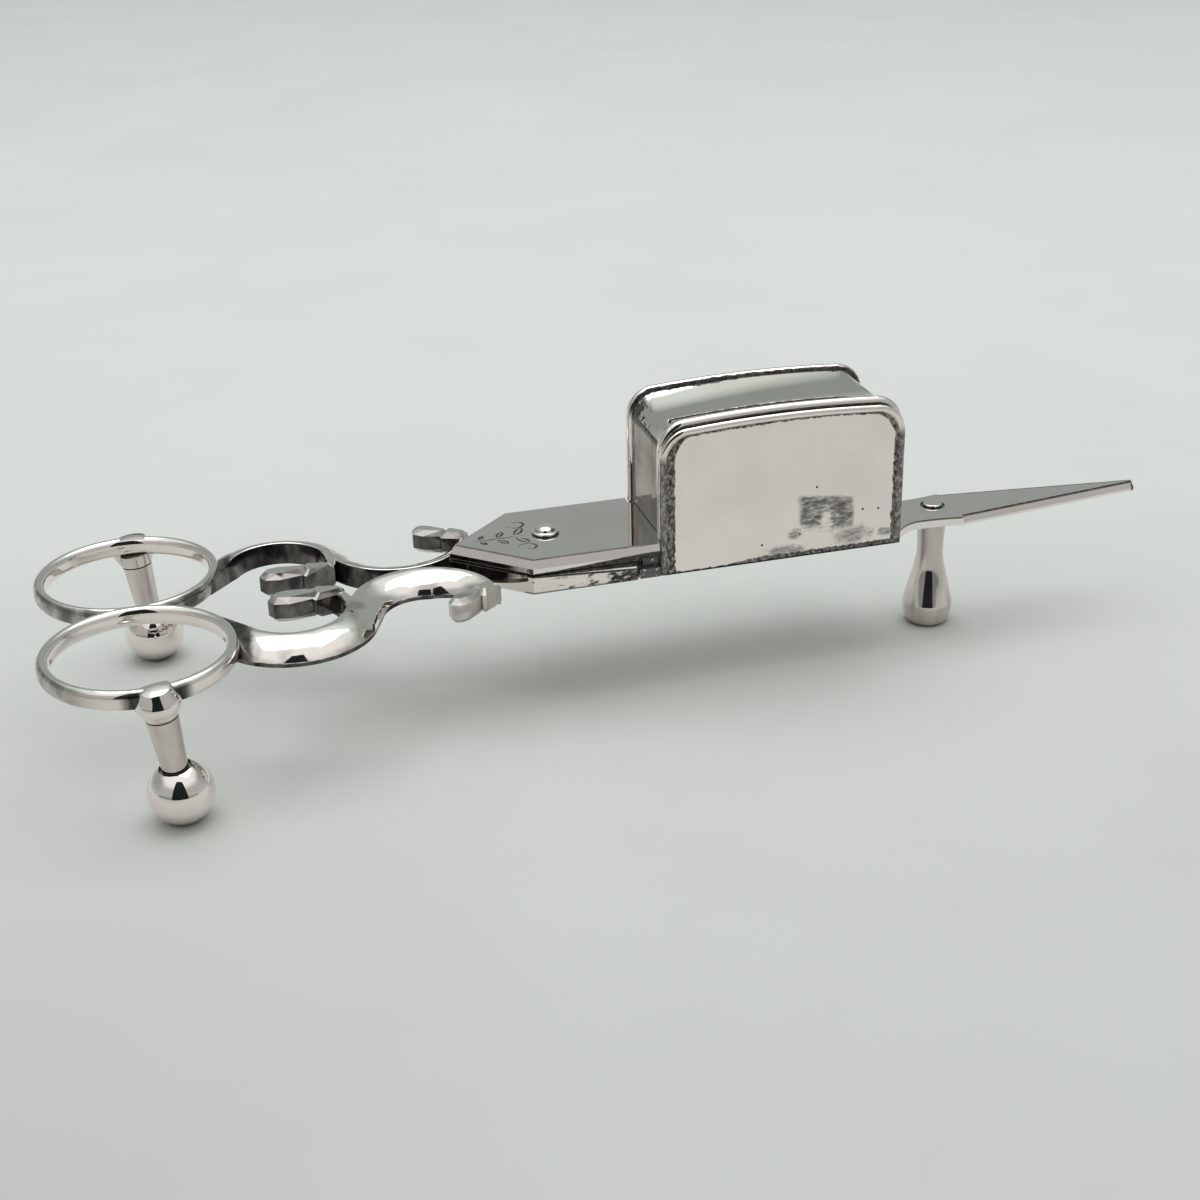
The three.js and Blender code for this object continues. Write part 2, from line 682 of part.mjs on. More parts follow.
  const bowHole = pin(bowRadius + jointGap, under - shankTall, top + shankTall, bowSides)
    .translate([bowCentre.x, side * bowCentre.y, 0]);
  const shank = ribbon.add(curl).add(rearBud).add(frontBud).add(webBody).subtract(bowHole);

  // Bow: a flat band with rounded edges, and the barrel that takes the foot
  const half = bandTall / 2 - bandRound;
  const inner = bowRadius - bandWide + bandRound;
  const outer = bowRadius - bandRound;
  const band = [
    ...arcPoints(outer, -half, bandRound, -Math.PI / 2, 0, bandSteps),
    ...arcPoints(outer, half, bandRound, 0, Math.PI / 2, bandSteps),
    ...arcPoints(inner, half, bandRound, Math.PI / 2, Math.PI, bandSteps),
    ...arcPoints(inner, -half, bandRound, Math.PI, 1.5 * Math.PI, bandSteps),
  ];
  band.push(band[0].clone());
  const bandBody = turned(band, bowSides).translate([bowCentre.x, side * bowCentre.y, middle]);

  const footAngle = Math.PI / 2 - footTurn;
  const seat = along(bowCentre, bowRadius - bandWide / 2, footAngle);
  const bossMiddle = new THREE.Vector3(seat.x, side * seat.y, middle - bossDrop);
  const ballMiddle = new THREE.Vector3(
    seat.x + footLeanX,
    side * (seat.y - footLeanY),
    ballRadius - ballFlat,
  );
  const lean = new THREE.Quaternion().setFromUnitVectors(
    new THREE.Vector3(0, 0, -1),
    ballMiddle.clone().sub(bossMiddle).normalize(),
  );
  const leaning = (profile, sides) => {
    const geometry = new THREE.LatheGeometry(profile, sides);
    geometry.rotateX(Math.PI / 2);
    geometry.applyQuaternion(lean);
    geometry.translate(bossMiddle.x, bossMiddle.y, bossMiddle.z);
    return solid(geometry);
  };
  const barrel = new THREE.SplineCurve([
    new THREE.Vector2(bossBottom, -bossTall / 2),
    new THREE.Vector2(bossMid, 0),
    new THREE.Vector2(bossTop, bossTall / 2),
  ]);
  const boss = leaning([
    new THREE.Vector2(0, -bossTall / 2),
    ...barrel.getPoints(arcSteps / 2),
    new THREE.Vector2(0, bossTall / 2),
  ], smallSides);

  // Stem and ball on the leaning line under the barrel
  const drop = bossMiddle.distanceTo(ballMiddle);
  const seatDepth = Math.sqrt(ballRadius ** 2 - ballSeat ** 2);
  const stemHigh = -bossTall / 2 - seam;
  const stemLow = seatDepth - drop + seam;
  const stem = leaning([
    new THREE.Vector2(0, stemLow),
    new THREE.Vector2(stemBottom, stemLow),
    new THREE.Vector2(stemTop, stemHigh),
    new THREE.Vector2(0, stemHigh),
  ], smallSides);
  const seatAngle = Math.acos(ballSeat / ballRadius);
  const wholeBall = leaning([
    new THREE.Vector2(0, -drop - ballRadius),
    ...arcPoints(0, -drop, ballRadius, -Math.PI / 2, seatAngle, profileSteps).slice(1),
    new THREE.Vector2(0, seatDepth - drop),
  ], roundSides);
  const ball = wholeBall.subtract(layer(-ballRadius, 0));

  return [
    named(`${label}_shank`, shank, silver),
    named(`${label}_bow`, bandBody.add(boss), silver),
    named(`${label}_foot_stem`, stem, silver),
    named(`${label}_foot_ball`, ball, silver),
  ];
}

const boxArm = new THREE.Group();
boxArm.add(
  named('box_arm_blade', boxArmBlade(), brightSteel),
  named('box_casing', boxCasing(), silver),
  named('box_side_plate', sidePlate(boxRear, sideInner, -1), silver),
  named('box_near_reed', reed(-1), silver),
  named('box_far_reed', reed(1), silver),
  named('front_foot', frontFoot().translate(frontFootPlace), silver),
  named('front_foot_rivet', frontFootRivet().translate(frontFootPlace), silver),
  named('pivot_rivet', pivotRivet(), brightSteel),
  named('pivot_washer', ring(holeRadius, washerRadius, washerLow, washerLow + washerThick), silver),
  named('pivot_burr', ring(holeRadius, burrRadius, burrHigh - burrThick, burrHigh), innerMetal),
  ...handle(1, 'box_arm', handleMid - handleStep),
);

const pressArm = new THREE.Group();
pressArm.add(
  named('press_arm_blade', pressArmBlade(), brightSteel),
  named('press_plate', sidePlate(pressRear, pressInner, 1), silver),
  ...handle(-1, 'press_arm', handleMid + handleStep),
);

// The origin lies on the table under the middle of the length
const snuffer = new THREE.Group();
snuffer.add(boxArm, pressArm);
snuffer.position.x = -midLength;
snuffer.updateMatrixWorld(true);

export default snuffer;
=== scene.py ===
"""Looks of a pair of candle snuffer scissors: silver-plated steel, worn and tarnished, on a pale floor.

Shapes are drawn in millimetres, x and y from the pivot and z from the table, and placed in metres.
"""
import json
import math

import bmesh
import bpy
from mathutils import Matrix, Quaternion, Vector

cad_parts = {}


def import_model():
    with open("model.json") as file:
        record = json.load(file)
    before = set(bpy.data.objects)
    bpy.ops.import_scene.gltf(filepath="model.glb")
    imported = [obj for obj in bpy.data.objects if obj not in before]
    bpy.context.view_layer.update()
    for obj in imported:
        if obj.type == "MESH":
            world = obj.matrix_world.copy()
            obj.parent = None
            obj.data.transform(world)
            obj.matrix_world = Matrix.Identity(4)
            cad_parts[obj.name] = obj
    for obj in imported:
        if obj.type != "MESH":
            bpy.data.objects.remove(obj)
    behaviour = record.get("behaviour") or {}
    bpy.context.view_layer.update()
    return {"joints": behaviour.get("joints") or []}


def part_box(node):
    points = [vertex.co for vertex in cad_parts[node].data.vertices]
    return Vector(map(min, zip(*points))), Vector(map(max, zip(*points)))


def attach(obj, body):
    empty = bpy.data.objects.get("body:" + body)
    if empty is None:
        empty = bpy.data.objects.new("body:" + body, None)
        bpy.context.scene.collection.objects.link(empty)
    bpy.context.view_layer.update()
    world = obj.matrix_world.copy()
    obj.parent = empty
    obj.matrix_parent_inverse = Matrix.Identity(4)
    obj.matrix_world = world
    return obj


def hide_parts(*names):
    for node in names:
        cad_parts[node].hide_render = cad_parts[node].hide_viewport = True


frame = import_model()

MM = 0.001
PIVOT = Vector(frame["joints"][0]["pos_m"])
BOX_ARM = "box_arm"
PRESS_ARM = "press_arm"


def span(node):
    """Lowest and highest corner of a node, in millimetres from the pivot and the table."""
    shift = Vector((PIVOT.x, PIVOT.y, 0))
    low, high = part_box(node)
    return (low - shift) / MM, (high - shift) / MM


# Heights and lengths that the frame gives
BLADE_LOW, BLADE_HIGH = span("box_arm_blade")
LEAF_LOW, LEAF_HIGH = span("press_arm_blade")
SIDE_LOW, SIDE_HIGH = span("box_side_plate")
PRESS_LOW, PRESS_HIGH = span("press_plate")
FOOT_LOW, FOOT_HIGH = span("front_foot")
PLATE_TOP = BLADE_HIGH.z
BLADE_UNDER = BLADE_LOW.z
LEAF_TOP = LEAF_HIGH.z
BOX_REAR, BOX_FRONT = SIDE_LOW.x, SIDE_HIGH.x
BOX_TOP = span("box_near_reed")[1].z
BOX_HALF = span("box_casing")[1].y
TIP_END = BLADE_HIGH.x

# Pivot plate and the leaf under it
UPPER_THICK = 2.3
BEVEL_OUT = 0.6
BEVEL_TALL = 1.4
PLATE_OUT = -SIDE_LOW.y
PLATE_HALF = PLATE_OUT - BEVEL_OUT
APEX_BACK = 14.2
SHOULDER_BACK = 4.2
LAP_RADIUS = 10.8
RUNNING_GAP = 0.3
SEAM = 0.1
FILED_DEEP = 0.9  # filed edge of the leaf, growing from its shoulder to the box
FILED_TALL = 1.3
PRESS_BLADE_WIDE = 1.7
CUT_DEEP = 0.07  # engraved lines

# Snuff box
BOX_CORNER = 4.8
BOX_CROWN = 1.0
WALL_THICK = 1.0
REED_WIDE = 1.5
REED_TALL = 0.75
CHANNEL_DIP = 1.6  # hollow along the roof, at the rear, and how much shallower it is at the front
CHANNEL_RISE = 0.6
CHANNEL_CORNER = 2.4  # corner radius at mid-width, where the corner is a facet
CORNER_FLAT = 0.8
CHANNEL_HALF = BOX_HALF - REED_WIDE
BEAD_TALL = 1.1  # round border of a side plate
BEAD_DROP = 1.0  # the border's crest lies this far under the reed's
BEAD_PROUD = 0.25  # the border outside the plate's face

# Floor and point
FLOOR_THICK = 1.5
TIP_SHOULDER = 12.0
TIP_NECK = 5.0
TIP_NECK_HALF = 4.2
TIP_HALF = 4.95
TIP_OFFSET = 1.9
TIP_ROUND = 0.8
GROUND_OUT = 0.5  # ground edge of the point
GROUND_TALL = 1.1
GROUND_STEP = 0.3

# Turned pieces
FOOT_BULB = 4.05
FOOT_BASE = 2.5
FOOT_NECK = 2.15
FOOT_HEAD = 2.45
FOOT_BULB_HEIGHT = 3.8
FOOT_WAIST = 2.45
FOOT_WAIST_HEIGHT = 10.5
FOOT_NECK_HEIGHT = 13.5
RIVET_RADIUS = 1.4
RIVET_DOME = 0.7
WASHER_RADIUS = 2.15
GROOVE_WIDE = 0.55  # ring cut round the foot's rivet
GROOVE_DEEP = 0.25

# Handles
SHANK_TALL = 3.3
SHANK_TOP = 0.75
SHANK_BASE = 4.7
SHANK_EDGE = 0.7  # upright edge under the sloping face
SHANK_BULGE = 0.72
SHANK_LEAN = 0.6  # how far the inner face leans out at its foot
SHANK_ROUND = 0.22
WAIST_HALF = 1.1
WAIST_BACK = 21.4
FRONT_SCROLL = 11.0
REAR_SCROLL = 7.5
REAR_SCROLL_OUT = 9.6
SCROLL_GAP = 0.65  # straight run between the scrolls, as the gap between their circles
CURL_WIDE = 1.5
REAR_TURN = 0.52  # radians past straight ahead where the rear scroll meets its bud
FRONT_TURN = 0.1  # radians short of straight ahead where the front scroll meets its bud
TAPER_START = 0.55  # share of the front scroll that is full width, and the width at its end
TAPER_END = 0.45
REAR_BUD = 10.4
REAR_BUD_HALF = 2.0
REAR_BUD_NECK = 0.65
FRONT_BUD = 8.2
FRONT_BUD_HALF = 1.65
FRONT_BUD_NECK = 1.2
FRONT_BUD_TURN = 0.55
BUD_NOTCH = 0.37
BUD_RISE = 0.6
BUD_BEVEL = 0.8
BUD_TIP = 1.5  # length of a bud's rounded end in half widths
BAND_WIDE = 1.9
BAND_TALL = 2.9
BAND_ROUND = 0.85  # rounding of the bow across and in height
BAND_CROWN = 1.2
LEAD_SINK = 0.6  # how far the shank's end runs into the bow, and its height there
LEAD_TALL = 0.6
FOOT_TURN = 0.12  # radians from the side of the bow to its foot
BOSS_MID = 3.27
BOSS_TOP = 2.3
BOSS_BOTTOM = 2.5
BOSS_TALL = 4.6
BOSS_DROP = 0.8
BOSS_DOME = 0.25
BOSS_RECESS = 0.4  # the barrel's trimmed back, behind the band's inner face
FOOT_LEAN_X = 1.5
FOOT_LEAN_Y = 1.2
STEM_TOP = 2.3
STEM_BOTTOM = 1.85
STEM_NECK = 1.95  # inside the seam under the barrel
BALL_RADIUS = 4.77
BALL_FLAT = 0.12
BALL_SEAT = 2.3  # recess round the stem
BALL_SEAT_DEEP = 0.45

# Camera, fitted to the photograph
LENS = 57.19
SENSOR = 36.0
CAMERA_PLACE = Vector((-75.18, -261.98, 142.57)) * MM
CAMERA_AZIMUTH = math.radians(-15.33)
CAMERA_ELEVATION = math.radians(25.72)
CAMERA_ROLL = math.radians(-1.39)

# Fineness
ARC_STEPS = 24
ROUND_SIDES = 96
SMOOTH_ANGLE = math.radians(30)
FLAT_ANGLE = math.radians(6)  # keeps flat plates flat beside shallow cuts


# Shapes, as corner points and faces

def flat(x, y):
    return Vector((x, y))


ORIGIN = flat(0, 0)


def polar(centre, radius, angle):
    return centre + radius * flat(math.cos(angle), math.sin(angle))


def arc(centre, radius, start, end, steps=ARC_STEPS):
    turn = (end - start) / steps
    return [polar(centre, radius, start + turn * i) for i in range(steps + 1)]


def at_height(points, z):
    return [Vector((*p, z)) for p in points]


def left_of(line):
    """Directions to the left of a line at each of its points."""
    last = len(line) - 1
    ahead = [line[min(i + 1, last)] - line[max(i - 1, 0)] for i in range(last + 1)]
    return [flat(-step.y, step.x).normalized() for step in ahead]


def loft(rings, closed=False):
    """A body through rings of as many points each, capped at its ends or closed into a loop."""
    count = len(rings[0])
    points = [p for ring in rings for p in ring]
    faces = []
    for k in range(len(rings) if closed else len(rings) - 1):
        here, there = k * count, (k + 1) % len(rings) * count
        for i in range(count):
            j = (i + 1) % count
            faces.append((here + i, here + j, there + j, there + i))
    if not closed:
        last = len(points) - count
        faces.append(tuple(range(count - 1, -1, -1)))
        faces.append(tuple(range(last, last + count)))
    return points, faces


def prism(outline, low, high):
    return loft([at_height(outline, low), at_height(outline, high)])


def circle(radius, height, sides):
    return [Vector((*polar(ORIGIN, radius, math.tau * i / sides), height)) for i in range(sides)]


def turned(profile, sides=ROUND_SIDES):
    """A body turned about the z axis from [radius, height] points that start and end on the axis."""
    points, faces = loft([circle(radius, height, sides) for radius, height in profile[1:-1]])
    ends = [Vector((0, 0, profile[k][1])) for k in (0, -1)]
    last = len(points) - sides
    fans = []
    for i in range(sides):
        j = (i + 1) % sides
        fans += [(j, i, len(points)), (last + i, last + j, len(points) + 1)]
    return points + ends, faces[:-2] + fans


def turned_ring(profile, sides=ROUND_SIDES):
    """A ring turned about the z axis from a closed loop of [radius, height] points."""
    return loft(list(zip(*[circle(radius, height, sides) for radius, height in profile])), closed=True)


def moved(shape, offset, turn=Quaternion()):
    points, faces = shape
    return [turn @ p + offset for p in points], faces


def curve_through(points, steps=ARC_STEPS):
    """A smooth line through a few points."""
    ends = [2 * points[0] - points[1], *points, 2 * points[-1] - points[-2]]
    line = []
    for i in range(len(points) - 1):
        a, b, c, d = ends[i:i + 4]
        for k in range(steps):
            t = k / steps
            line.append(0.5 * (2 * b + (c - a) * t + (2 * a - 5 * b + 4 * c - d) * t ** 2
                               + (3 * b - a - 3 * c + d) * t ** 3))
    line.append(points[-1])
    return line


def bend(start, control, end, steps=ARC_STEPS):
    """Points of a quadratic curve, without its first one."""
    return [start.lerp(control, i / steps).lerp(control.lerp(end, i / steps), i / steps)
            for i in range(1, steps + 1)]


# Pieces, as Blender objects

def linked(name, data):
    piece = bpy.data.objects.new(name, data)
    bpy.context.scene.collection.objects.link(piece)
    return piece


def new_piece(name, points, faces):
    mesh = bpy.data.meshes.new(name)
    mesh.from_pydata(points, [], faces)
    return linked(name, mesh)


def body_of(name, shape):
    points, faces = shape
    place = [(p.x * MM + PIVOT.x, p.y * MM + PIVOT.y, p.z * MM) for p in points]
    piece = new_piece(name, place, faces)
    shell = bmesh.new()
    shell.from_mesh(piece.data)
    bmesh.ops.recalc_face_normals(shell, faces=shell.faces)
    shell.to_mesh(piece.data)
    shell.free()
    return piece


def combine(piece, shape, operation):
    """Adds or cuts a shape and makes the result the piece's own mesh."""
    other = body_of("tool", shape)
    change = piece.modifiers.new(operation.lower(), "BOOLEAN")
    change.operation = operation
    change.solver = "MANIFOLD"
    change.object = other
    seen = piece.evaluated_get(bpy.context.evaluated_depsgraph_get())
    mesh = bpy.data.meshes.new_from_object(seen)
    piece.modifiers.clear()
    piece.data = mesh
    piece.data.name = piece.name
    bpy.data.objects.remove(other)


def built(name, shapes, cuts=()):
    piece = body_of(name, shapes[0])
    for shape in shapes[1:]:
        combine(piece, shape, "UNION")
    for shape in cuts:
        combine(piece, shape, "DIFFERENCE")
    return piece


def dress(piece, material, body, slot, *nodes, crease=SMOOTH_ANGLE):
    mesh = piece.data
    mesh.shade_smooth()
    mesh.set_sharp_from_angle(angle=crease)
    mesh.materials.clear()
    mesh.materials.append(material)
    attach(piece, body)
    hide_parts(*nodes)


# Materials

def plug(tree, node, inputs):
    """Links or sets a shader node's inputs, which are named or numbered."""
    for key, value in inputs.items():
        if isinstance(value, Field):
            value = value.socket
        if isinstance(value, bpy.types.NodeSocket):
            tree.links.new(value, node.inputs[key])
        else:
            node.inputs[key].default_value = value


def wired(tree, kind, inputs):
    node = tree.nodes.new(f"ShaderNode{kind}")
    plug(tree, node, inputs)
    return node


def mixed(tree, amount, low, high):
    """A colour between two colours, each a tuple or a colour socket."""
    node = tree.nodes.new("ShaderNodeMix")
    node.data_type = "RGBA"
    ends = [(*colour, 1) if isinstance(colour, tuple) else colour for colour in (low, high)]
    plug(tree, node, {0: amount, 6: ends[0], 7: ends[1]})
    return node.outputs[2]


class Field:
    """A number that varies over a surface, with arithmetic that adds shader nodes."""

    def __init__(self, tree, socket):
        self.tree = tree
        self.socket = socket

    def math(self, operation, *others):
        node = wired(self.tree, "Math", dict(enumerate((self, *others))))
        node.operation = operation
        return Field(self.tree, node.outputs[0])

    def __add__(self, other):
        return self.math("ADD", other)

    def __sub__(self, other):
        return self.math("SUBTRACT", other)

    def __mul__(self, other):
        return self.math("MULTIPLY", other)

    def __abs__(self):
        return self.math("ABSOLUTE")

    def least(self, other):
        return self.math("MINIMUM", other)

    def most(self, other):
        return self.math("MAXIMUM", other)

    def hypot(self, other):
        return (self * self + other * other).math("SQRT")

    def step(self, low, high):
        """0 below low, 1 above high and smooth between; low above high turns it round."""
        node = wired(self.tree, "MapRange", {"Value": self, "From Min": low, "From Max": high})
        node.interpolation_type = "SMOOTHSTEP"
        return Field(self.tree, node.outputs["Result"])

    def within(self, low, high, soft):
        """1 from low to high, falling to 0 over a soft stretch outside them."""
        return self.step(low - soft, low) * self.step(high + soft, high)


class Finish:
    """A material with its coordinates in millimetres from the pivot and the table."""

    def __init__(self, name):
        self.material = bpy.data.materials.new(name)
        self.material.use_nodes = True
        self.tree = self.material.node_tree
        self.shader = self.tree.nodes["Principled BSDF"]
        place = wired(self.tree, "TexCoord", {})
        from_pivot = {"Vector": place.outputs["Object"], "Scale": (1 / MM,) * 3,
                      "Location": (-PIVOT.x / MM, -PIVOT.y / MM, 0)}
        self.place = wired(self.tree, "Mapping", from_pivot).outputs["Vector"]
        self.x, self.y, self.z = self.parts(self.place)

    def parts(self, vector):
        node = wired(self.tree, "SeparateXYZ", {0: vector})
        return [Field(self.tree, socket) for socket in node.outputs]

    def facing(self):
        """Direction the surface faces, as its x, y and z."""
        return self.parts(wired(self.tree, "NewGeometry", {}).outputs["True Normal"])

    def noise(self, size, detail=3.0, stretch=(1, 1, 1), roughness=0.55):
        """Noise whose blotches are about size millimetres wide, from 0 to 1."""
        squeeze = wired(self.tree, "VectorMath", {0: self.place, 1: stretch})
        squeeze.operation = "DIVIDE"
        node = wired(self.tree, "TexNoise", {"Vector": squeeze.outputs[0], "Scale": 1 / size,
                                             "Detail": detail, "Roughness": roughness})
        return Field(self.tree, node.outputs["Fac"])

    def crevice(self, reach):
        """1 deep in a seam or corner and 0 in the open, judged over a reach in millimetres."""
        node = wired(self.tree, "AmbientOcclusion", {"Distance": reach * MM})
        node.samples = 6
        return Field(self.tree, node.outputs["AO"]).step(0.72, 0.3)

    def mix(self, amount, low, high):
        return mixed(self.tree, amount, low, high)

    def set(self, colour, metal, roughness, bump, depth):
        """Colour socket, metal and roughness fields, and a bump field with its depth in millimetres."""
        raised = wired(self.tree, "Bump", {"Height": bump, "Distance": depth * MM})
        plug(self.tree, self.shader, {"Base Color": colour, "Metallic": metal, "Roughness": roughness,
                                      "Normal": raised.outputs["Normal"]})
        return self.material


BRIGHT = (0.90, 0.845, 0.81)
WARM = (0.86, 0.79, 0.745)
VEIL = (0.145, 0.106, 0.088)
# DARK and BROWN: worn metal, and painted shade on the blades
DARK = (0.012, 0.012, 0.011)
BROWN = (0.10, 0.09, 0.08)
FILM_AND_SHADE = ((0.022, 0.022, 0.021), (0.15, 0.142, 0.132))  # tarnish that still shines, also painted shade on the scrolls' inward faces, dark and pale


def silver(name, stain=None, veil=None, waves=0.02, rough=0.035, seam=0.9, film=False):
    """Polished silver with hairline scratches and an uneven tint.

    Dirt darkens the seams. A stain of 1 makes the metal dark, as wear and in places as painted shade; a veil
    of 1 dulls it.
    As a film the stain is a dark film of tarnish and painted shade that still shines.
    """
    finish = Finish(name)
    tint = finish.noise(9.0, 4.0).step(0.35, 0.7)
    clean = finish.mix(tint, BRIGHT, WARM)
    hairs = finish.noise(0.5, 2.0, (12, 1, 1)).step(0.58, 0.8)
    cross = finish.noise(0.5, 2.0, (1, 10, 3)).step(0.62, 0.8)
    scratches = hairs.most(cross)
    smears = finish.noise(4.0, 3.0).step(0.45, 0.75)
    roughness = scratches * 0.04 + smears * 0.025 + rough
    bump = finish.noise(6.0, 1.0) + scratches * 0.008
    if veil:
        dulled = veil(finish)
        clean = finish.mix(dulled, clean, VEIL)
        roughness = roughness + dulled * 0.06
    worn = finish.crevice(seam)
    # a stain mask can hold painted shade as well as wear
    if stain:
        worn = worn.most(stain(finish))
    if film:
        mottle = finish.noise(2.6, 2.0, (1, 1, 1.8)).step(0.35, 0.75)
        dirt_and_shade = finish.mix(mottle, *FILM_AND_SHADE)
        shine_lost, roughening = 0.1, 0.08
    else:
        mottle = finish.noise(0.7, 5.0, roughness=0.65).step(0.38, 0.68)
        dirt_and_shade = finish.mix(mottle, DARK, BROWN)
        shine_lost, roughening = 0.75, 0.25
    colour = finish.mix(worn, clean, dirt_and_shade)
    metal = worn * -shine_lost + 1.0
    return finish.set(colour, metal, roughness + worn * roughening, bump + worn * -0.01, waves)


# Blades

SLANT = flat(APEX_BACK - SHOULDER_BACK, PLATE_HALF).normalized()
UPPER_UNDER = PLATE_TOP - UPPER_THICK
PLATE_FRONT = BOX_REAR - SEAM
PLATE_END = BOX_REAR + REED_TALL + 2 * WALL_THICK
FLOOR_TOP = BLADE_UNDER + FLOOR_THICK
LEAF_HALF = -LEAF_LOW.y
LEAF_APEX = APEX_BACK + (LEAF_HALF - PLATE_HALF) / SLANT.y
LEAF_ARC = BOX_REAR - 2 * SEAM
FLOOR_ARC = LEAF_ARC + RUNNING_GAP
STRIP_FAR = PRESS_LOW.y - SEAM
STRIP_NEAR = STRIP_FAR - PRESS_BLADE_WIDE
FLOOR_FAR = STRIP_NEAR - RUNNING_GAP
SPLIT = RUNNING_GAP / 2
FILED_LOW = LEAF_TOP - FILED_TALL
LEAF_SHOULDER = LEAF_HALF * SLANT.x / SLANT.y - LEAF_APEX
FOOT_PLACE = Vector(((FOOT_LOW.x + FOOT_HIGH.x) / 2, (FOOT_LOW.y + FOOT_HIGH.y) / 2, 0))


def plate_outline(out):
    """The pivot plate's edge, out millimetres outside its face."""
    half = PLATE_HALF + out
    apex = -APEX_BACK - out / SLANT.y
    shoulder = apex + half * SLANT.x / SLANT.y
    return [flat(apex, 0), flat(shoulder, -half), flat(PLATE_FRONT, -half),
            flat(PLATE_FRONT, half), flat(shoulder, half)]


def plate_shape():
    return loft([
        at_height(plate_outline(BEVEL_OUT), UPPER_UNDER),
        at_height(plate_outline(BEVEL_OUT), PLATE_TOP - BEVEL_TALL),
        at_height(plate_outline(0), PLATE_TOP),
    ])


def rectangle(x0, x1, y0, y1):
    return [flat(x0, y0), flat(x1, y0), flat(x1, y1), flat(x0, y1)]


def lap_pad_shape():
    radius = LAP_RADIUS + RUNNING_GAP
    length = SLANT.x * LEAF_APEX
    reach = length - math.sqrt(length ** 2 - LEAF_APEX ** 2 + radius ** 2)
    corner = flat(reach * SLANT.x - LEAF_APEX, reach * SLANT.y)
    start = math.pi - SPLIT / radius
    outline = [flat(SPLIT * SLANT.x / SLANT.y - LEAF_APEX, SPLIT)]
    outline += arc(ORIGIN, radius, start, math.atan2(corner.y, corner.x))
    return prism(outline, BLADE_UNDER, UPPER_UNDER + SEAM)


def rear_arc(half):
    """Rear edge of the floor, which clears the leaf's round front, from the far side to half the width."""
    return arc(ORIGIN, FLOOR_ARC, math.asin(FLOOR_FAR / FLOOR_ARC), -math.asin(half / FLOOR_ARC))


def floor_rear():
    return [*rear_arc(PLATE_OUT), flat(PLATE_FRONT, -PLATE_OUT), flat(PLATE_FRONT, -BOX_HALF)]


def riser_shapes():
    """Block between floor and plate, cut back above the line of the leaf's filed edge."""
    front = [flat(PLATE_END, -BOX_HALF), flat(PLATE_END, FLOOR_FAR)]
    return [prism([*floor_rear(), *front], BLADE_UNDER, FILED_LOW),
            prism([*rear_arc(BOX_HALF), *front], FILED_LOW - SEAM, UPPER_UNDER + SEAM)]


def flank(side, start, ground):
    """One side of the point, from where it leaves the floor to its ground edge."""
    neck = flat(BOX_FRONT + TIP_NECK, side * TIP_NECK_HALF - TIP_OFFSET)
    shoulder = flat(BOX_FRONT + TIP_SHOULDER, side * TIP_HALF - TIP_OFFSET)
    turn = flat((neck.x + shoulder.x) / 2, neck.y)
    curves = bend(start, neck - flat(TIP_NECK / 2, 0), neck) + bend(neck, turn, shoulder)
    return [start, *curves, shoulder + flat(GROUND_STEP, -side * ground)]


def point_outline(ground):
    """Floor of the box and the point, with the point's straight edges drawn in by ground."""
    start = BOX_FRONT + SEAM
    near = flank(-1, flat(start, -BOX_HALF), ground)
    far = flank(1, flat(start, FLOOR_FAR), ground)
    tip = flat(TIP_END - TIP_ROUND, -TIP_OFFSET)
    return [*floor_rear(), *near, *arc(tip, TIP_ROUND - ground, -math.pi / 2, math.pi / 2), *far[::-1]]


def point_shape():
    levels = ((0, BLADE_UNDER), (0, FLOOR_TOP - GROUND_TALL), (GROUND_OUT, FLOOR_TOP))
    return loft([at_height(point_outline(ground), z) for ground, z in levels])


# Engraving: a leafy sprig that runs along the plate between two scrolls

SPRIG_START = -11.8
SPRIG_END = -3.4
SPRIG_LEAVES = 3
LEAF_LONG = 3.4
LINE_WIDE = 0.44
SCROLL_PLACE = flat(-3.6, 4.6)
SCROLL_WIDE = 1.8


def stroke(line, width):
    """A cutter for one engraved line, broad in its middle and fine at its ends."""
    rings = []
    for i, (p, side) in enumerate(zip(line, left_of(line))):
        swell = 0.25 + 0.75 * math.sin(math.pi * i / (len(line) - 1))
        out = side * width * swell / 2
        ring = [*at_height([p + 2 * out, p - 2 * out], PLATE_TOP + CUT_DEEP * swell)]
        rings.append([*ring, Vector((p.x, p.y, PLATE_TOP - CUT_DEEP * swell))])
    return loft(rings)


def engraving():
    shares = [i / ARC_STEPS for i in range(ARC_STEPS + 1)]
    cutters = [stroke([flat(SPRIG_START + (SPRIG_END - SPRIG_START) * t, 0) for t in shares], LINE_WIDE)]
    for side in (-1, 1):
        for k in range(SPRIG_LEAVES):
            share = (k + 0.5) / SPRIG_LEAVES
            long = LEAF_LONG * (0.35 + 0.65 * share)
            foot = flat(SPRIG_START + (SPRIG_END - SPRIG_START) * share, side * LINE_WIDE)
            tip = foot + flat(0.55, 0.85 * side) * long
            for hollow in (flat(0.6, 0.25 * side), flat(0.05, 0.55 * side)):
                cutters.append(stroke([foot, *bend(foot, foot + hollow * long, tip, 8)], LINE_WIDE))
        centre = flat(SCROLL_PLACE.x, side * SCROLL_PLACE.y)
        scroll = [polar(centre, SCROLL_WIDE * (1 - 0.75 * t), side * (5.2 * t - 2.8)) for t in shares]
        cutters.append(stroke(scroll, LINE_WIDE))
    return cutters


def plate_depth(f):
    """Distance inside the pivot plate's face from its edge."""
    across = abs(f.y)
    slanting = (f.x + APEX_BACK) * SLANT.y - across * SLANT.x
    return slanting.least(across * -1 + PLATE_HALF)


def ragged(f, size, amount):
    """Uneven distance for worn edges, around 0."""
    return (f.noise(size, 6.0, roughness=0.7) - 0.5) * (2 * amount)


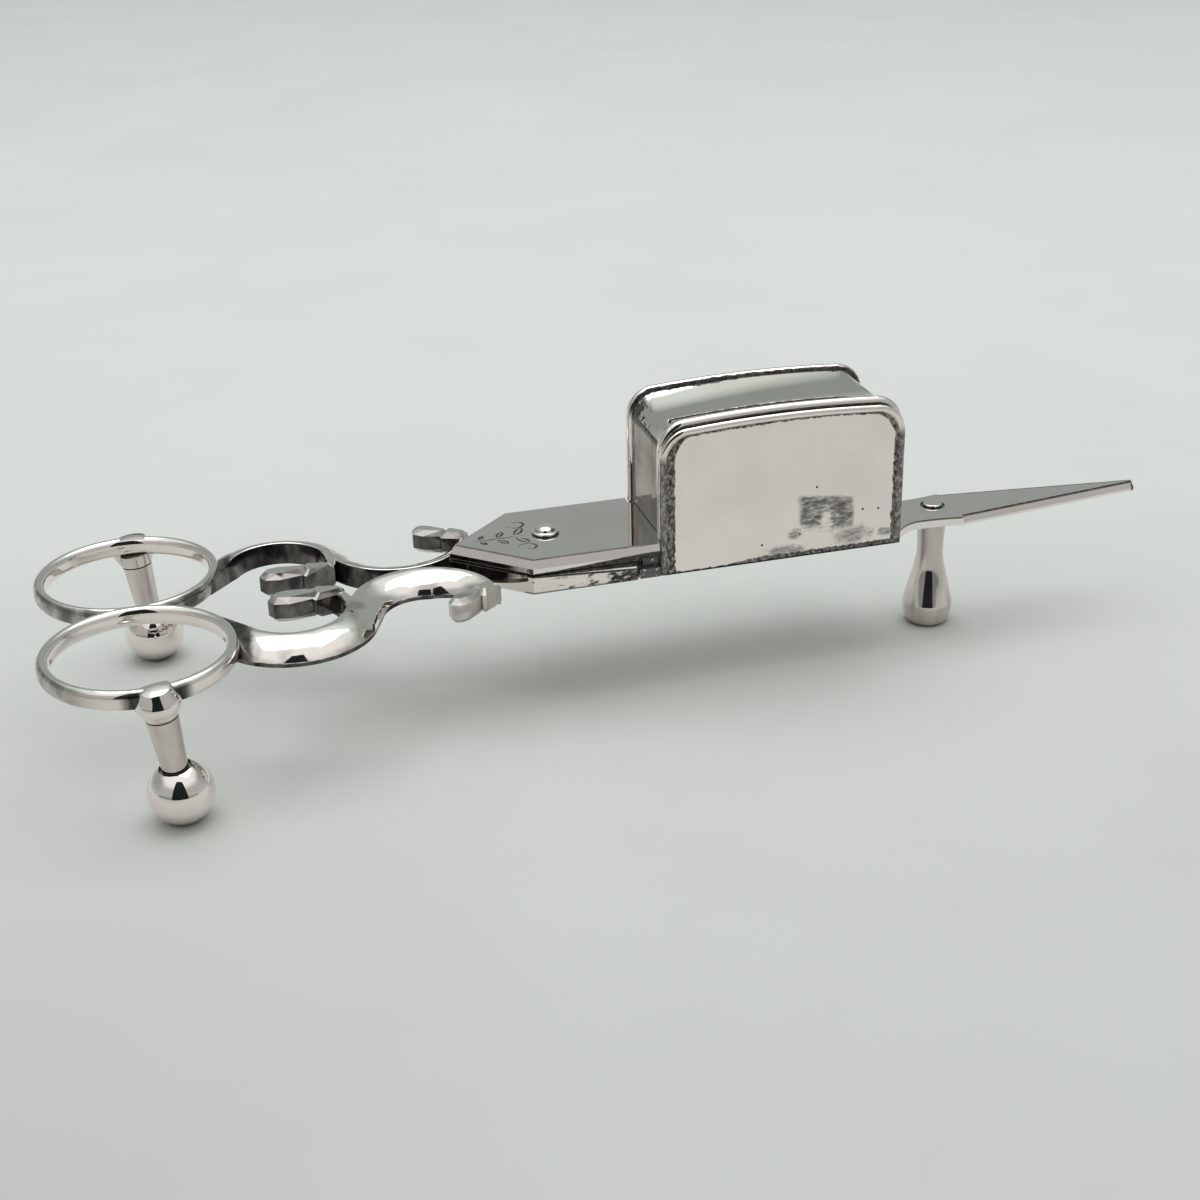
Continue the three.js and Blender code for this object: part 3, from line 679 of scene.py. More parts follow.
def point_wear_and_shade(f):
    """Worn edges of the point, its blunt end and a line of painted shade along its neck."""
    shoulder = BOX_FRONT + TIP_SHOULDER
    narrowing = (TIP_HALF - TIP_ROUND) / (TIP_END - TIP_ROUND - shoulder)
    half = (f.x - shoulder) * -narrowing + (TIP_HALF - GROUND_OUT)
    inside = half - abs(f.y + TIP_OFFSET)
    edge = (inside - 0.12 + ragged(f, 1.4, 0.16)).step(0.2, 0.05) * (inside + 0.1).step(-0.12, 0.0)
    edge = edge * f.x.step(shoulder - 0.2, shoulder + 0.4) * f.z.step(FLOOR_TOP - 0.4, FLOOR_TOP - 0.1)
    blunt = f.x.step(TIP_END - 1.1, TIP_END - 0.5)
    # painted shade: a dark line along the top of the neck's sides, where a ground edge would show dark
    neck = f.z.step(FLOOR_TOP - 0.4, FLOOR_TOP - 0.25) * f.z.step(FLOOR_TOP - 0.005, FLOOR_TOP - 0.02)
    neck = neck * f.x.step(BOX_FRONT + 0.2, BOX_FRONT + 0.6) * f.x.step(shoulder + 0.5, shoulder + 0.3)
    return edge.most(blunt).most(neck * 0.9)


def plate_wear_and_shade(f):
    """Engraved lines, the plate's outline, painted shade under its bevel, the riser and the point's wear and
    shade.
    """
    on_top = f.z.step(PLATE_TOP - 0.25, PLATE_TOP - 0.2)
    depth = plate_depth(f)
    cut = f.z.step(PLATE_TOP - 0.001, PLATE_TOP - 0.003) * on_top * depth.step(0.2, 0.3)
    cut = cut * f.x.within(SPRIG_START - 0.4, SCROLL_PLACE.x + SCROLL_WIDE - 0.1, 0.2)
    outline = abs(depth + ragged(f, 1.5, 0.08)).step(0.13, 0.05) * on_top
    outline = outline * f.x.step(BOX_REAR - 0.2, BOX_REAR - 0.4)
    riser = f.x.step(BOX_REAR - 0.04, BOX_REAR - 0.06) * f.y.step(0.8 - BOX_HALF, 0.4 - BOX_HALF)
    riser = riser * f.z.step(UPPER_UNDER - 0.05, UPPER_UNDER - 0.15) * f.noise(0.6, 5.0).step(0.7, 0.58)
    # painted shade: a dark band at the foot of the plate's upright edge, widening towards the box, where the
    # leaf's filed edge leaves a shadowed gap
    grown = f.x.step(-SHOULDER_BACK, BOX_REAR) * 0.95
    under = (f.z - UPPER_UNDER - grown + ragged(f, 2.5, 0.1)).step(0.25, 0.1)
    under = under * f.z.step(UPPER_UNDER - 0.1, UPPER_UNDER) * f.x.step(PLATE_FRONT + 0.05, PLATE_FRONT)
    return cut.most(outline * 0.8).most(riser * 0.9).most(under).most(point_wear_and_shade(f))


def leaf_wear_and_shade(f):
    """Painted shade along the filed edge and the filed face, a dark bottom edge, and worn patches that
    thicken to the box.
    """
    slope = -FILED_TALL / (LEAF_ARC - LEAF_SHOULDER)
    line = (f.x - LEAF_SHOULDER) * slope + (LEAF_TOP - SEAM)
    near = f.y.step(-LEAF_HALF + 1.2, -LEAF_HALF + 0.9)
    # painted shade: a dark line along the filed edge, and the upper part of the filed face, which lies in
    # the plate's shadow
    seam = abs(f.z - line - 0.1).step(0.2, 0.08)
    under = (f.z - line - (line * -1 + LEAF_TOP) * 0.35 + ragged(f, 1.5, 0.1)).step(0.0, 0.12)
    low = abs(f.z - BLADE_UNDER).step(0.35, 0.15)
    patches = f.noise(1.1, 6.0, (2.2, 1, 1), 0.7)
    spread = f.x.step(LEAF_SHOULDER + 0.5, LEAF_ARC - 1.4) * 0.22
    grown = (patches + spread).step(0.58, 0.68) * (f.z - line).step(0.1, -0.1)
    under = under * f.x.step(LEAF_SHOULDER + 0.1, LEAF_SHOULDER + 2.5)
    return near * seam.most(low * 0.8).most(grown).most(under)


def box_arm_blade():
    tongue = rectangle(0, PLATE_END, -BOX_HALF, FLOOR_FAR)
    low, high = span("front_foot_rivet")
    inner = (high.x - low.x) / 2
    outer = inner + GROOVE_WIDE
    bottom, over = FLOOR_TOP - GROOVE_DEEP, FLOOR_TOP + GROOVE_DEEP
    groove = turned_ring([(inner, bottom), (outer - GROOVE_WIDE / 4, bottom), (outer, over), (inner, over)])
    shapes = [plate_shape(), prism(tongue, UPPER_UNDER, PLATE_TOP), lap_pad_shape()]
    shapes += [*riser_shapes(), point_shape()]
    blade = built("pivot_plate_and_point", shapes, [moved(groove, FOOT_PLACE), *engraving()])
    material = silver("plate_silver", plate_wear_and_shade, waves=0.004, rough=0.03)
    dress(blade, material, BOX_ARM, "blade_silver", "box_arm_blade", crease=FLAT_ANGLE)


def press_arm_blade():
    near = -math.asin(LEAF_HALF / LEAF_ARC)
    far = math.asin(STRIP_NEAR / LEAF_ARC)
    back = min(LEAF_HALF, LAP_RADIUS)
    end = PRESS_LOW.x - RUNNING_GAP
    outline = [flat(LEAF_SHOULDER, -LEAF_HALF)]
    outline += arc(ORIGIN, LEAF_ARC, near, far)
    outline += [flat(end, STRIP_NEAR), flat(end, back)]
    outline += arc(ORIGIN, LAP_RADIUS, math.pi - math.asin(back / LAP_RADIUS), math.pi + SPLIT / LAP_RADIUS)
    outline.append(flat(SPLIT * SLANT.x / SLANT.y - LEAF_APEX, -SPLIT))
    filed = at_height(outline, LEAF_TOP)
    filed[1].y += FILED_DEEP
    edge = at_height(outline, LEAF_TOP - SEAM)
    edge[1].z = FILED_LOW
    strip = rectangle(0, BOX_FRONT, STRIP_NEAR, STRIP_FAR)
    strip_top = FLOOR_TOP + SEAM - RUNNING_GAP
    leaf = built("lower_leaf", [
        loft([at_height(outline, BLADE_UNDER), edge, filed]),
        prism(strip, BLADE_UNDER, strip_top),
    ])
    material = silver("leaf_silver", leaf_wear_and_shade, waves=0.004)
    dress(leaf, material, PRESS_ARM, "blade_silver", "press_arm_blade")


# Snuff box

BOX_MIDDLE = (BOX_REAR + BOX_FRONT) / 2
BOX_REACH = (BOX_FRONT - BOX_REAR) / 2
ROOF_LOW = PLATE_TOP + 14.0  # height where the end walls turn into the roof


def arch(rear, inset, rear_foot, front_foot, drop=lambda x: 0.0, hollow=0.0):
    """Outline of the box in x and z from its rear foot over the crowned top to its front foot.

    The top can lie lower by a drop at each x, and the corners turn into the channel's facets by hollow.
    """
    radius = BOX_CORNER + hollow * (CHANNEL_CORNER - BOX_CORNER) - inset
    left = rear + inset + radius
    right = BOX_FRONT - inset - radius

    def top_at(x):
        return BOX_TOP - inset - drop(x) - BOX_CROWN * ((x - BOX_MIDDLE) / BOX_REACH) ** 2

    def corner(x, start, end):
        curve = arc(flat(x, top_at(x) - radius), radius, start, end)
        chord = [curve[0].lerp(curve[-1], i / ARC_STEPS) for i in range(ARC_STEPS + 1)]
        return [p.lerp(q, hollow * CORNER_FLAT) for p, q in zip(curve, chord)]

    level = [left + (right - left) * i / ARC_STEPS for i in range(1, ARC_STEPS)]
    return [flat(rear + inset, rear_foot), *corner(left, math.pi, math.pi / 2),
            *[flat(x, top_at(x)) for x in level],
            *corner(right, math.pi / 2, 0), flat(BOX_FRONT - inset, front_foot)]


def casing_shape():
    rows = 2 * ARC_STEPS
    rings = []
    for k in range(rows + 1):
        y = BOX_HALF * (2 * k / rows - 1)
        hollow = 1 - min(abs(y) / CHANNEL_HALF, 1) ** 2

        def drop(x):
            return hollow * (CHANNEL_DIP - CHANNEL_RISE * (x - BOX_REAR) / (BOX_FRONT - BOX_REAR))

        outer, inner = (arch(BOX_REAR, inset, PLATE_TOP + SEAM, FLOOR_TOP + SEAM, drop, hollow)
                        for inset in (REED_TALL, REED_TALL + WALL_THICK))
        rings.append([Vector((p.x, y, p.y)) for p in outer + inner[::-1]])
    return loft(rings)


def reed_shape(side):
    """A half-round wire along the casing's edge."""
    line = arch(BOX_REAR, REED_TALL, PLATE_TOP + SEAM, FLOOR_TOP + SEAM)
    middle = side * (BOX_HALF - REED_WIDE / 2)
    section = arc(ORIGIN, 1, -math.pi / 2, math.pi / 2, ARC_STEPS // 2)
    rings = []
    for p, out in zip(line, left_of(line)):
        ring = [(p + out * REED_TALL * q.x, middle + REED_WIDE / 2 * q.y) for q in section]
        rings.append([Vector((edge.x, y, edge.y)) for edge, y in ring])
    return loft(rings)


def side_plate_shape(rear, inner, outer):
    """Flat plate with a round border along its arched edge."""
    thick = abs(outer - inner)
    side = 1 if outer > inner else -1
    half_deep = (thick - SEAM) / 2
    half_tall = BEAD_TALL / 2
    face = thick - BEAD_PROUD
    end = math.pi - math.asin((face - SEAM - half_deep) / half_deep)
    levels = [(half_tall + BEAD_PROUD, 0)]
    for p in arc(ORIGIN, 1, -math.pi / 2, end, ARC_STEPS):
        levels.append((half_tall * (1 - p.x), SEAM + half_deep * (1 + p.y)))
    rings = []
    for inset, depth in levels:
        line = arch(rear, inset, BLADE_UNDER, BLADE_UNDER, lambda x: BEAD_DROP)
        rings.append([Vector((p.x, inner + side * depth, p.y)) for p in line])
    return loft(rings)


def rim_depth(f):
    """Distance inside a side plate from its arched edge."""
    along = abs(f.x - BOX_MIDDLE)
    crown = along * (1 / BOX_REACH)
    over_x = along - (BOX_REACH - BOX_CORNER)
    over_z = crown * crown * BOX_CROWN + f.z - (BOX_TOP - BEAD_DROP - BOX_CORNER)
    outside = over_x.most(0).hypot(over_z.most(0))
    return outside * -1 - over_x.most(over_z).least(0) + BOX_CORNER


# Tarnish on the near side plate, with heights from the pivot plate's top
BLOCK_REAR = 38.0  # block of tarnish, which tilts down to the front, and the gap in it
BLOCK_FRONT = 47.0
BLOCK_TALL = 4.3
BLOCK_SLOPE = 0.137
BLOCK_GAP = flat(42.6, 0.6)
# each smudge has its x, height, half width and half height, and each pit its x and height
SMUDGES = ((47.4, -2.9, 3.4, 1.5), (37.3, -1.6, 1.2, 1.0), (35.8, -4.4, 3.3, 1.3), (52.3, -3.2, 1.3, 0.8))
PITS = ((40.84, 5.8), (48.6, 1.1), (51.2, 0.9), (38.2, -1.7), (32.0, -2.7))
PIT_RADIUS = 0.19


def spot(f, x, z, wide, tall):
    """A ragged stain round a place on a side plate."""
    off = ((f.x - x) * (1 / wide)).hypot((f.z - z) * (1 / tall))
    return (off + ragged(f, 1.8, 1.0)).step(1.25, 0.4)


def border_stain(f):
    """Foil worn off a side plate's border: broad at the rear, thin along the top."""
    broad = f.x.step(BOX_REAR + 4.5, BOX_REAR + 2.2) + f.x.step(BOX_FRONT - 5, BOX_FRONT - 2.5) * 0.4
    width = broad + 0.4 + ragged(f, 1.3, 0.6)
    depth = rim_depth(f)
    upright = f.z.step(BOX_TOP - 5, BOX_TOP - 7)
    rim = (depth - width - (BEAD_TALL - 0.15)).step(0.1, -0.1) * (depth - BEAD_TALL).step(-0.25, 0.0)
    rim = rim.most(depth.step(BEAD_TALL + 0.1, BEAD_TALL - 0.1) * upright * 0.9)
    foot = f.x.step(BOX_REAR + 8, BOX_REAR + 18) * 0.55 + 0.2 + ragged(f, 1.2, 0.6)
    low = (f.z - BLADE_UNDER - foot).step(0.1, -0.05)
    flecks = f.noise(0.5, 5.0, (1, 1, 1.6), 0.75).step(0.62, 0.45)
    return rim.most(low) * (flecks * 0.35 + 0.65)


def fixed_side_stain(f):
    """Border wear, a streaky square block of tarnish, smudges under it and a few pits."""
    height = f.z - PLATE_TOP
    tilted = height + (f.x - BLOCK_REAR) * BLOCK_SLOPE
    fray = ragged(f, 2.2, 1.0)
    along = f.x + fray
    block = along.step(BLOCK_REAR - 0.4, BLOCK_REAR + 0.8) * along.step(BLOCK_FRONT + 0.4, BLOCK_FRONT - 0.4)
    block = block * (tilted + fray + ragged(f, 1.1, 0.8)).step(-1.6, 0.6)
    block = block * (tilted + fray * 0.4).step(BLOCK_TALL + 0.7, BLOCK_TALL)
    gap = ((f.x - BLOCK_GAP.x) * 0.9).hypot((tilted - BLOCK_GAP.y) * 0.5) + ragged(f, 0.9, 0.5)
    streaks = f.noise(0.8, 5.0, (2.6, 1, 0.8), 0.7)
    block = block * (streaks + gap.step(0.3, 1.3) * 0.2).step(0.45, 0.8)
    stain = border_stain(f).most(block * 0.9)
    tone = streaks.step(0.35, 0.65) * 0.5 + 0.3
    for x, z, wide, tall in SMUDGES:
        stain = stain.most(spot(f, x, PLATE_TOP + z, wide, tall) * tone)
    for x, z in PITS:
        stain = stain.most((f.x - x).hypot(height - z).step(PIT_RADIUS + 0.05, PIT_RADIUS - 0.05))
    return stain


def casing_stain(f):
    """Jagged wear along the hollow roof's edges and corner facets."""
    thin = f.x.step(BOX_MIDDLE - 5, BOX_MIDDLE + 2) * f.x.step(BOX_FRONT - 5, BOX_FRONT - 9) * 0.35
    far = (f.y * -1 + CHANNEL_HALF + ragged(f, 1.6, 0.9) + thin).step(0.42, 0.3)
    near = (f.y + CHANNEL_HALF + ragged(f, 1.4, 0.35)).step(0.4, 0.25)
    on_roof = f.z.step(ROOF_LOW - 0.4, ROOF_LOW + 0.2)
    wall = BOX_REAR + REED_TALL
    fold = (f.x - wall + ragged(f, 0.9, 0.14)).step(0.26, 0.14) * f.z.step(ROOF_LOW - 0.1, ROOF_LOW + 0.3)
    torn = (f.noise(1.7, 6.0, roughness=0.7) + f.y.step(0, CHANNEL_HALF) * 0.12).step(0.57, 0.6)
    torn = torn * f.x.step(wall + 2.4, wall + 1.6)
    foot = (f.z - PLATE_TOP).step(0.35, 0.1) * f.x.step(wall + 1, wall + 0.5)
    return (on_roof * far.most(near).most(torn)).most(fold).most(foot)


def casing_veil(f):
    """The rear wall is dulled, most of all along its top, and the roof a little."""
    wall = f.x.step(BOX_REAR + REED_TALL + 0.25, BOX_REAR + REED_TALL + 0.1)
    cloud = f.noise(5.0, 3.0).step(0.3, 0.7) * 0.2 + 0.8
    roof = f.z.step(ROOF_LOW, ROOF_LOW + 1) * 0.16
    return (wall * cloud * (f.z.step(PLATE_TOP, PLATE_TOP + 12) * 0.1 + 0.9)).most(roof)


def rim_stain(f):
    """Dark, broken lines along the inner edges of the reeds."""
    inner = abs(f.y) - CHANNEL_HALF
    line = (inner + ragged(f, 1.5, 0.4)).step(0.3, 0.18)
    scuffs = f.noise(0.6, 5.0, (3, 1, 1), 0.7).step(0.64, 0.72)
    return line.most(scuffs) * f.z.step(BOX_TOP - 6, BOX_TOP - 3.5)


def box_pieces():
    casing = silver("roof_silver", casing_stain, casing_veil, waves=0.012)
    rims = silver("rim_silver", rim_stain, waves=0.01, seam=0.5)
    dress(built("box_shell", [casing_shape()]), casing, BOX_ARM, "box_silver", "box_casing")
    for side, label in ((-1, "near"), (1, "far")):
        piece = built(f"reeded_rim_{label}", [reed_shape(side)])
        dress(piece, rims, BOX_ARM, "worn_silver", f"box_{label}_reed")
    fixed = built("fixed_side", [side_plate_shape(BOX_REAR, SIDE_HIGH.y, SIDE_LOW.y)])
    worn = silver("side_silver", fixed_side_stain, waves=0.004)
    dress(fixed, worn, BOX_ARM, "worn_silver", "box_side_plate")
    moving = built("press_side", [side_plate_shape(PRESS_LOW.x, PRESS_LOW.y, PRESS_HIGH.y)])
    rubbed = silver("press_silver", border_stain, waves=0.004)
    dress(moving, rubbed, PRESS_ARM, "worn_silver", "press_plate")


# Turned pieces on the blades

def front_foot_shape():
    top = FOOT_HIGH.z
    bulb = flat(FOOT_BULB, FOOT_BULB_HEIGHT)
    waist = flat(FOOT_WAIST, FOOT_WAIST_HEIGHT)
    under = bend(flat(FOOT_BASE, 0), flat(FOOT_BULB, SEAM), bulb)
    outline = curve_through([bulb, (bulb + waist) / 2, waist, flat(FOOT_NECK, FOOT_NECK_HEIGHT),
                             flat(FOOT_HEAD, top)])
    return turned([(0, 0), (FOOT_BASE, 0), *under, *outline[1:], (0, top)])


def button(radius, low, high, rounding):
    """A disc with a rounded rim."""
    rim = arc(flat(radius - rounding, high - rounding), rounding, 0, math.pi / 2, ARC_STEPS // 3)
    return turned([(0, low), (radius, low), *rim, (0, high)])


def dome_shape(radius, low, rim, rise):
    bow = arc(ORIGIN, 1, 0, math.pi / 2)[:-1]
    head = [(radius * p.x, rim + rise * p.y) for p in bow]
    return turned([(0, low), (radius, low), *head, (0, rim + rise)])


def ring_shape(inner, outer, low, high):
    rounding = (high - low) / 2
    rim = arc(flat(outer - rounding, low + rounding), rounding, -math.pi / 2, math.pi / 2, ARC_STEPS // 2)
    return turned_ring([(inner, low), *rim, (inner, high)])


def turned_pieces(material, dulled):
    foot = built("pear_foot", [moved(front_foot_shape(), FOOT_PLACE)])
    dress(foot, dulled, BOX_ARM, "handle_silver", "front_foot")
    low, high = span("front_foot_rivet")
    head = button((high.x - low.x) / 2, low.z, high.z, (high.z - FOOT_HIGH.z) / 10)
    rivet = built("foot_rivet", [moved(head, FOOT_PLACE)])
    dress(rivet, material, BOX_ARM, "handle_silver", "front_foot_rivet")
    low, high = span("pivot_rivet")
    pin = dome_shape(RIVET_RADIUS, low.z + RIVET_DOME, high.z - RIVET_DOME, RIVET_DOME)
    dress(built("hinge_rivet", [pin]), material, BOX_ARM, "handle_silver", "pivot_rivet")
    low, high = span("pivot_washer")
    washer = ring_shape(RIVET_RADIUS + SEAM, WASHER_RADIUS, low.z, high.z)
    dress(built("hinge_washer", [washer]), material, BOX_ARM, "handle_silver", "pivot_washer")
    low, high = span("pivot_burr")
    burr = ring_shape(RIVET_RADIUS + SEAM, (high.x - low.x) / 2, low.z, high.z)
    dress(built("hinge_burr", [burr]), material, BOX_ARM, "blade_silver", "pivot_burr")


# Handles, drawn for the far side and mirrored for the near one

BOW_LOW, BOW_HIGH = span("box_arm_bow")
BOW_RADIUS = (BOW_HIGH.x - BOW_LOW.x) / 2
BOW_CENTRE = flat(BOW_LOW.x + BOW_RADIUS, BOW_LOW.y + BOW_RADIUS)
BAND_MIDDLE = BOW_RADIUS - BAND_WIDE / 2
FOOT_SEAT = polar(BOW_CENTRE, BAND_MIDDLE, math.pi / 2 - FOOT_TURN)
FRONT_CENTRE = flat(-WAIST_BACK, WAIST_HALF + FRONT_SCROLL)
SCROLL_SPAN = REAR_SCROLL + FRONT_SCROLL + SCROLL_GAP
REAR_CENTRE = flat(FRONT_CENTRE.x - math.sqrt(SCROLL_SPAN ** 2 - (FRONT_CENTRE.y - REAR_SCROLL_OUT) ** 2),
                   REAR_SCROLL_OUT)
TO_FRONT = math.atan2(FRONT_CENTRE.y - REAR_CENTRE.y, FRONT_CENTRE.x - REAR_CENTRE.x)
LEAVE = TO_FRONT + math.acos((REAR_SCROLL + FRONT_SCROLL) / SCROLL_SPAN)
REAR_NECK = polar(REAR_CENTRE, REAR_SCROLL + CURL_WIDE / 2, -REAR_TURN)
FRONT_NECK = polar(FRONT_CENTRE, FRONT_SCROLL - CURL_WIDE / 2, -FRONT_TURN)
BESIDE_LOW = 18.0  # heights between which the bows are dark beside their barrels
BESIDE_HIGH = 21.2


def mirrored(shape, side):
    points, faces = shape
    return [Vector((p.x, side * p.y, p.z)) for p in points], faces


def shank_section(width, grown):
    """Section of the shank as distances outward and down.

    Its slope is drawn in to a share of its width, and it is lower and upright where it grows out of the bow.
    """
    crest = flat(SHANK_TOP * width, 0)
    edge = flat(SHANK_BASE * width, SHANK_TALL - SHANK_EDGE)
    middle = (crest + edge) / 2 + flat(SHANK_BULGE, -SHANK_BULGE)
    slope = bend(crest, middle, edge, ARC_STEPS // 2)
    rounding = arc(flat(SHANK_ROUND, SHANK_ROUND), SHANK_ROUND, math.pi, 1.5 * math.pi, ARC_STEPS // 4)
    foot = [flat(SHANK_BASE * width, SHANK_TALL), flat(-SHANK_LEAN * grown, SHANK_TALL)]
    tall = LEAD_TALL + (1 - LEAD_TALL) * grown
    half = SHANK_TALL / 2
    return [flat(p.x, half + (p.y - half) * tall) for p in (*rounding, crest, *slope, *foot)]


def shank_shape(top):
    """From the bow in a straight lead, round the rear scroll and across to the front one."""
    to_bow = BOW_CENTRE - REAR_CENTRE
    meet = math.atan2(to_bow.y, to_bow.x) - math.acos((REAR_SCROLL + BOW_RADIUS) / to_bow.length)
    start = polar(BOW_CENTRE, BOW_RADIUS, meet - math.pi)
    rear = arc(REAR_CENTRE, REAR_SCROLL, meet, LEAVE, 3 * ARC_STEPS)
    front = arc(FRONT_CENTRE, FRONT_SCROLL, LEAVE - math.pi, -FRONT_TURN, 3 * ARC_STEPS)
    lead = [start.lerp(rear[0], i / ARC_STEPS) for i in range(ARC_STEPS)]
    line = lead + rear + front
    rings = []
    for i, (p, out) in enumerate(zip(line, left_of(line))):
        along = (i - len(lead) - len(rear)) / (len(front) - 1)
        width = 1 - (1 - TAPER_END) * max(along - TAPER_START, 0) / (1 - TAPER_START)
        grown = min(i / len(lead), 1)
        section = shank_section(width, grown)
        rings.append([Vector((*(p + out * across), top - down)) for across, down in section])
    return loft(rings)


def curl_shape(top):
    """Narrow end of the rear scroll, which runs on to its bud."""
    section = [(-SHANK_LEAN, -SHANK_TALL), (CURL_WIDE, -SHANK_TALL), (CURL_WIDE, -SHANK_ROUND),
               (CURL_WIDE - SHANK_ROUND, 0), (SHANK_ROUND, 0), (0, -SHANK_ROUND)]
    rings = []
    for i in range(ARC_STEPS + 1):
        angle = LEAVE + (-REAR_TURN - LEAVE) * i / ARC_STEPS
        rings.append([Vector((*polar(REAR_CENTRE, REAR_SCROLL + across, angle), top + rise))
                      for across, rise in section])
    return loft(rings)


def petal(start, end, narrow, wide, round_end):
    """Outline of one lobe of a bud along x, from a narrow start to its widest part and its end."""
    broad = end - (BUD_TIP * wide if round_end else BUD_BEVEL / 2)
    outline = [flat(start, -narrow), flat(broad, -wide)]
    if round_end:
        outline += bend(flat(broad, -wide), flat(end, -wide), flat(end, 0), 2)
        outline += bend(flat(end, 0), flat(end, wide), flat(broad, wide), 2)
    else:
        outline += [flat(end, BUD_BEVEL / 2 - wide), flat(end, wide - BUD_BEVEL / 2), flat(broad, wide)]
    outline.append(flat(start, narrow))
    return outline


def drawn_in(lobe, amount):
    """A lobe's outline shrunk towards its middle by an amount at its ends and at its sides."""
    first, last = min(p.x for p in lobe), max(p.x for p in lobe)
    wide = max(p.y for p in lobe)
    middle = (first + last) / 2
    along = 1 - 2 * amount / (last - first)
    across = 1 - amount / wide
    return [flat(middle + (p.x - middle) * along, p.y * across) for p in lobe]


def bud_shapes(length, half, neck, place, heading, low, high):
    """Two lobes with bevelled edges, the first growing out of the scroll's end."""
    notch = BUD_NOTCH * length
    inner = petal(-half / 2, notch, neck, half, False)
    outer = petal(notch - half / 2, length, half / 2, half, True)
    turn = Matrix.Rotation(heading, 2)
    levels = ((BUD_BEVEL, low), (0, low + BUD_BEVEL), (0, high - BUD_BEVEL), (BUD_BEVEL, high))
    shapes = []
    for lobe in (inner, outer):
        rings = [at_height([turn @ p + place for p in drawn_in(lobe, amount)], z) for amount, z in levels]
        shapes.append(loft(rings))
    return shapes


def band_shape():
    """Ring of a rounded section."""
    across, up = BAND_WIDE / 2 - BAND_ROUND, BAND_TALL / 2 - BAND_CROWN
    section = []
    for x, z, start in ((across, -up, -0.5), (across, up, 0.0), (-across, up, 0.5), (-across, -up, 1.0)):
        corner = arc(ORIGIN, 1, start * math.pi, (start + 0.5) * math.pi, ARC_STEPS // 2)
        section += [(BAND_MIDDLE + x + BAND_ROUND * p.x, z + BAND_CROWN * p.y) for p in corner]
    return turned_ring(section, 2 * ROUND_SIDES)


def drum(radius, half):
    return turned([(0, -half), (radius, -half), (radius, half), (0, half)], 2 * ROUND_SIDES)


def boss_shape():
    """Barrel with a softly domed top."""
    high = BOSS_TALL / 2
    shoulder = flat(BOSS_TOP, high - BOSS_DOME)
    side = curve_through([flat(BOSS_BOTTOM, BOSS_DOME - high), flat(BOSS_MID, 0), shoulder])
    crown = flat(BOSS_TOP / 2, high + BOSS_DOME / 2)
    top = bend(shoulder, flat(BOSS_TOP - BOSS_DOME / 2, high), crown, ARC_STEPS // 2)
    return turned([(0, -high), (BOSS_BOTTOM - BOSS_DOME, -high), *side, *top, (0, high + BOSS_DOME)])


def stem_shape(drop):
    """Tapered stem from the barrel down into the ball, with the barrel's middle at height 0."""
    high = BOSS_DROP - BAND_TALL / 2 + SEAM
    seam = -BOSS_TALL / 2 - SEAM
    low = math.sqrt(BALL_RADIUS ** 2 - BALL_SEAT ** 2) - BALL_SEAT_DEEP - drop
    return turned([(0, low), (STEM_BOTTOM, low), (STEM_TOP, seam - SEAM), (STEM_NECK, seam - SEAM),
                   (STEM_NECK, seam + SEAM), (STEM_TOP, seam + SEAM), (STEM_TOP, high), (0, high)])


def ball_shape(drop):
    """Ball with a recess round the stem."""
    seat = math.acos(BALL_SEAT / BALL_RADIUS)
    skin = arc(flat(0, -drop), BALL_RADIUS, -math.pi / 2, seat, 3 * ARC_STEPS)[1:]
    floor_height = skin[-1].y - BALL_SEAT_DEEP
    return turned([(0, -drop - BALL_RADIUS), *skin, (BALL_SEAT - SEAM, floor_height), (0, floor_height)])


def scroll_tarnish_and_shade(f):
    """Painted shade on the scrolls' inward faces, tarnish on the sides of the buds, and darker lower edges
    and bow joints.
    """
    _, facing_y, facing_z = f.facing()
    upright = abs(facing_z).step(0.8, 0.5)
    out = abs(f.y)
    # painted shade: faces that turn towards the middle, between the handles, are darkened
    inward = (facing_y * f.y.math("SIGN")).step(-0.1, -0.4)
    rear_bud = f.x.within(REAR_NECK.x - REAR_BUD - 1.4, REAR_NECK.x + 0.7, 1.0)
    rear_bud = rear_bud * abs(out - REAR_NECK.y).step(REAR_BUD_HALF + 1.1, REAR_BUD_HALF + 0.5)
    front_bud = f.x.within(FRONT_NECK.x - FRONT_BUD, FRONT_NECK.x + 0.8, 1.0)
    front_bud = front_bud * out.step(FRONT_NECK.y - 3.5, FRONT_NECK.y - 2.5)
    front_bud = front_bud * (f.y.step(-1, 1) * 0.65 + 0.35)
    near_low, far_low = span("press_arm_shank")[0].z, span("box_arm_shank")[0].z
    above = f.z - near_low - f.y.step(-0.1, 0.1) * (far_low - near_low)
    edge = (above + ragged(f, 2.5, 0.3)).step(SHANK_EDGE, SHANK_EDGE - 0.15)
    joint = (f.x - BOW_CENTRE.x).hypot(out - BOW_CENTRE.y) - BOW_RADIUS
    joint = (joint + ragged(f, 1.6, 0.8)).step(2.4, 1.2)
    mottle = f.noise(2.4, 3.0, (1, 1, 1.6)).step(0.28, 0.55) * 0.12 + 0.86
    return (upright * inward.most(rear_bud).most(front_bud).most(edge)).most(joint) * mottle


def scroll_veil(f):
    """Soft brown clouds over the scrolls, which break up the white that they mirror."""
    return f.noise(4.5, 2.0, (1.5, 1, 1)).step(0.5, 0.68) * 0.45


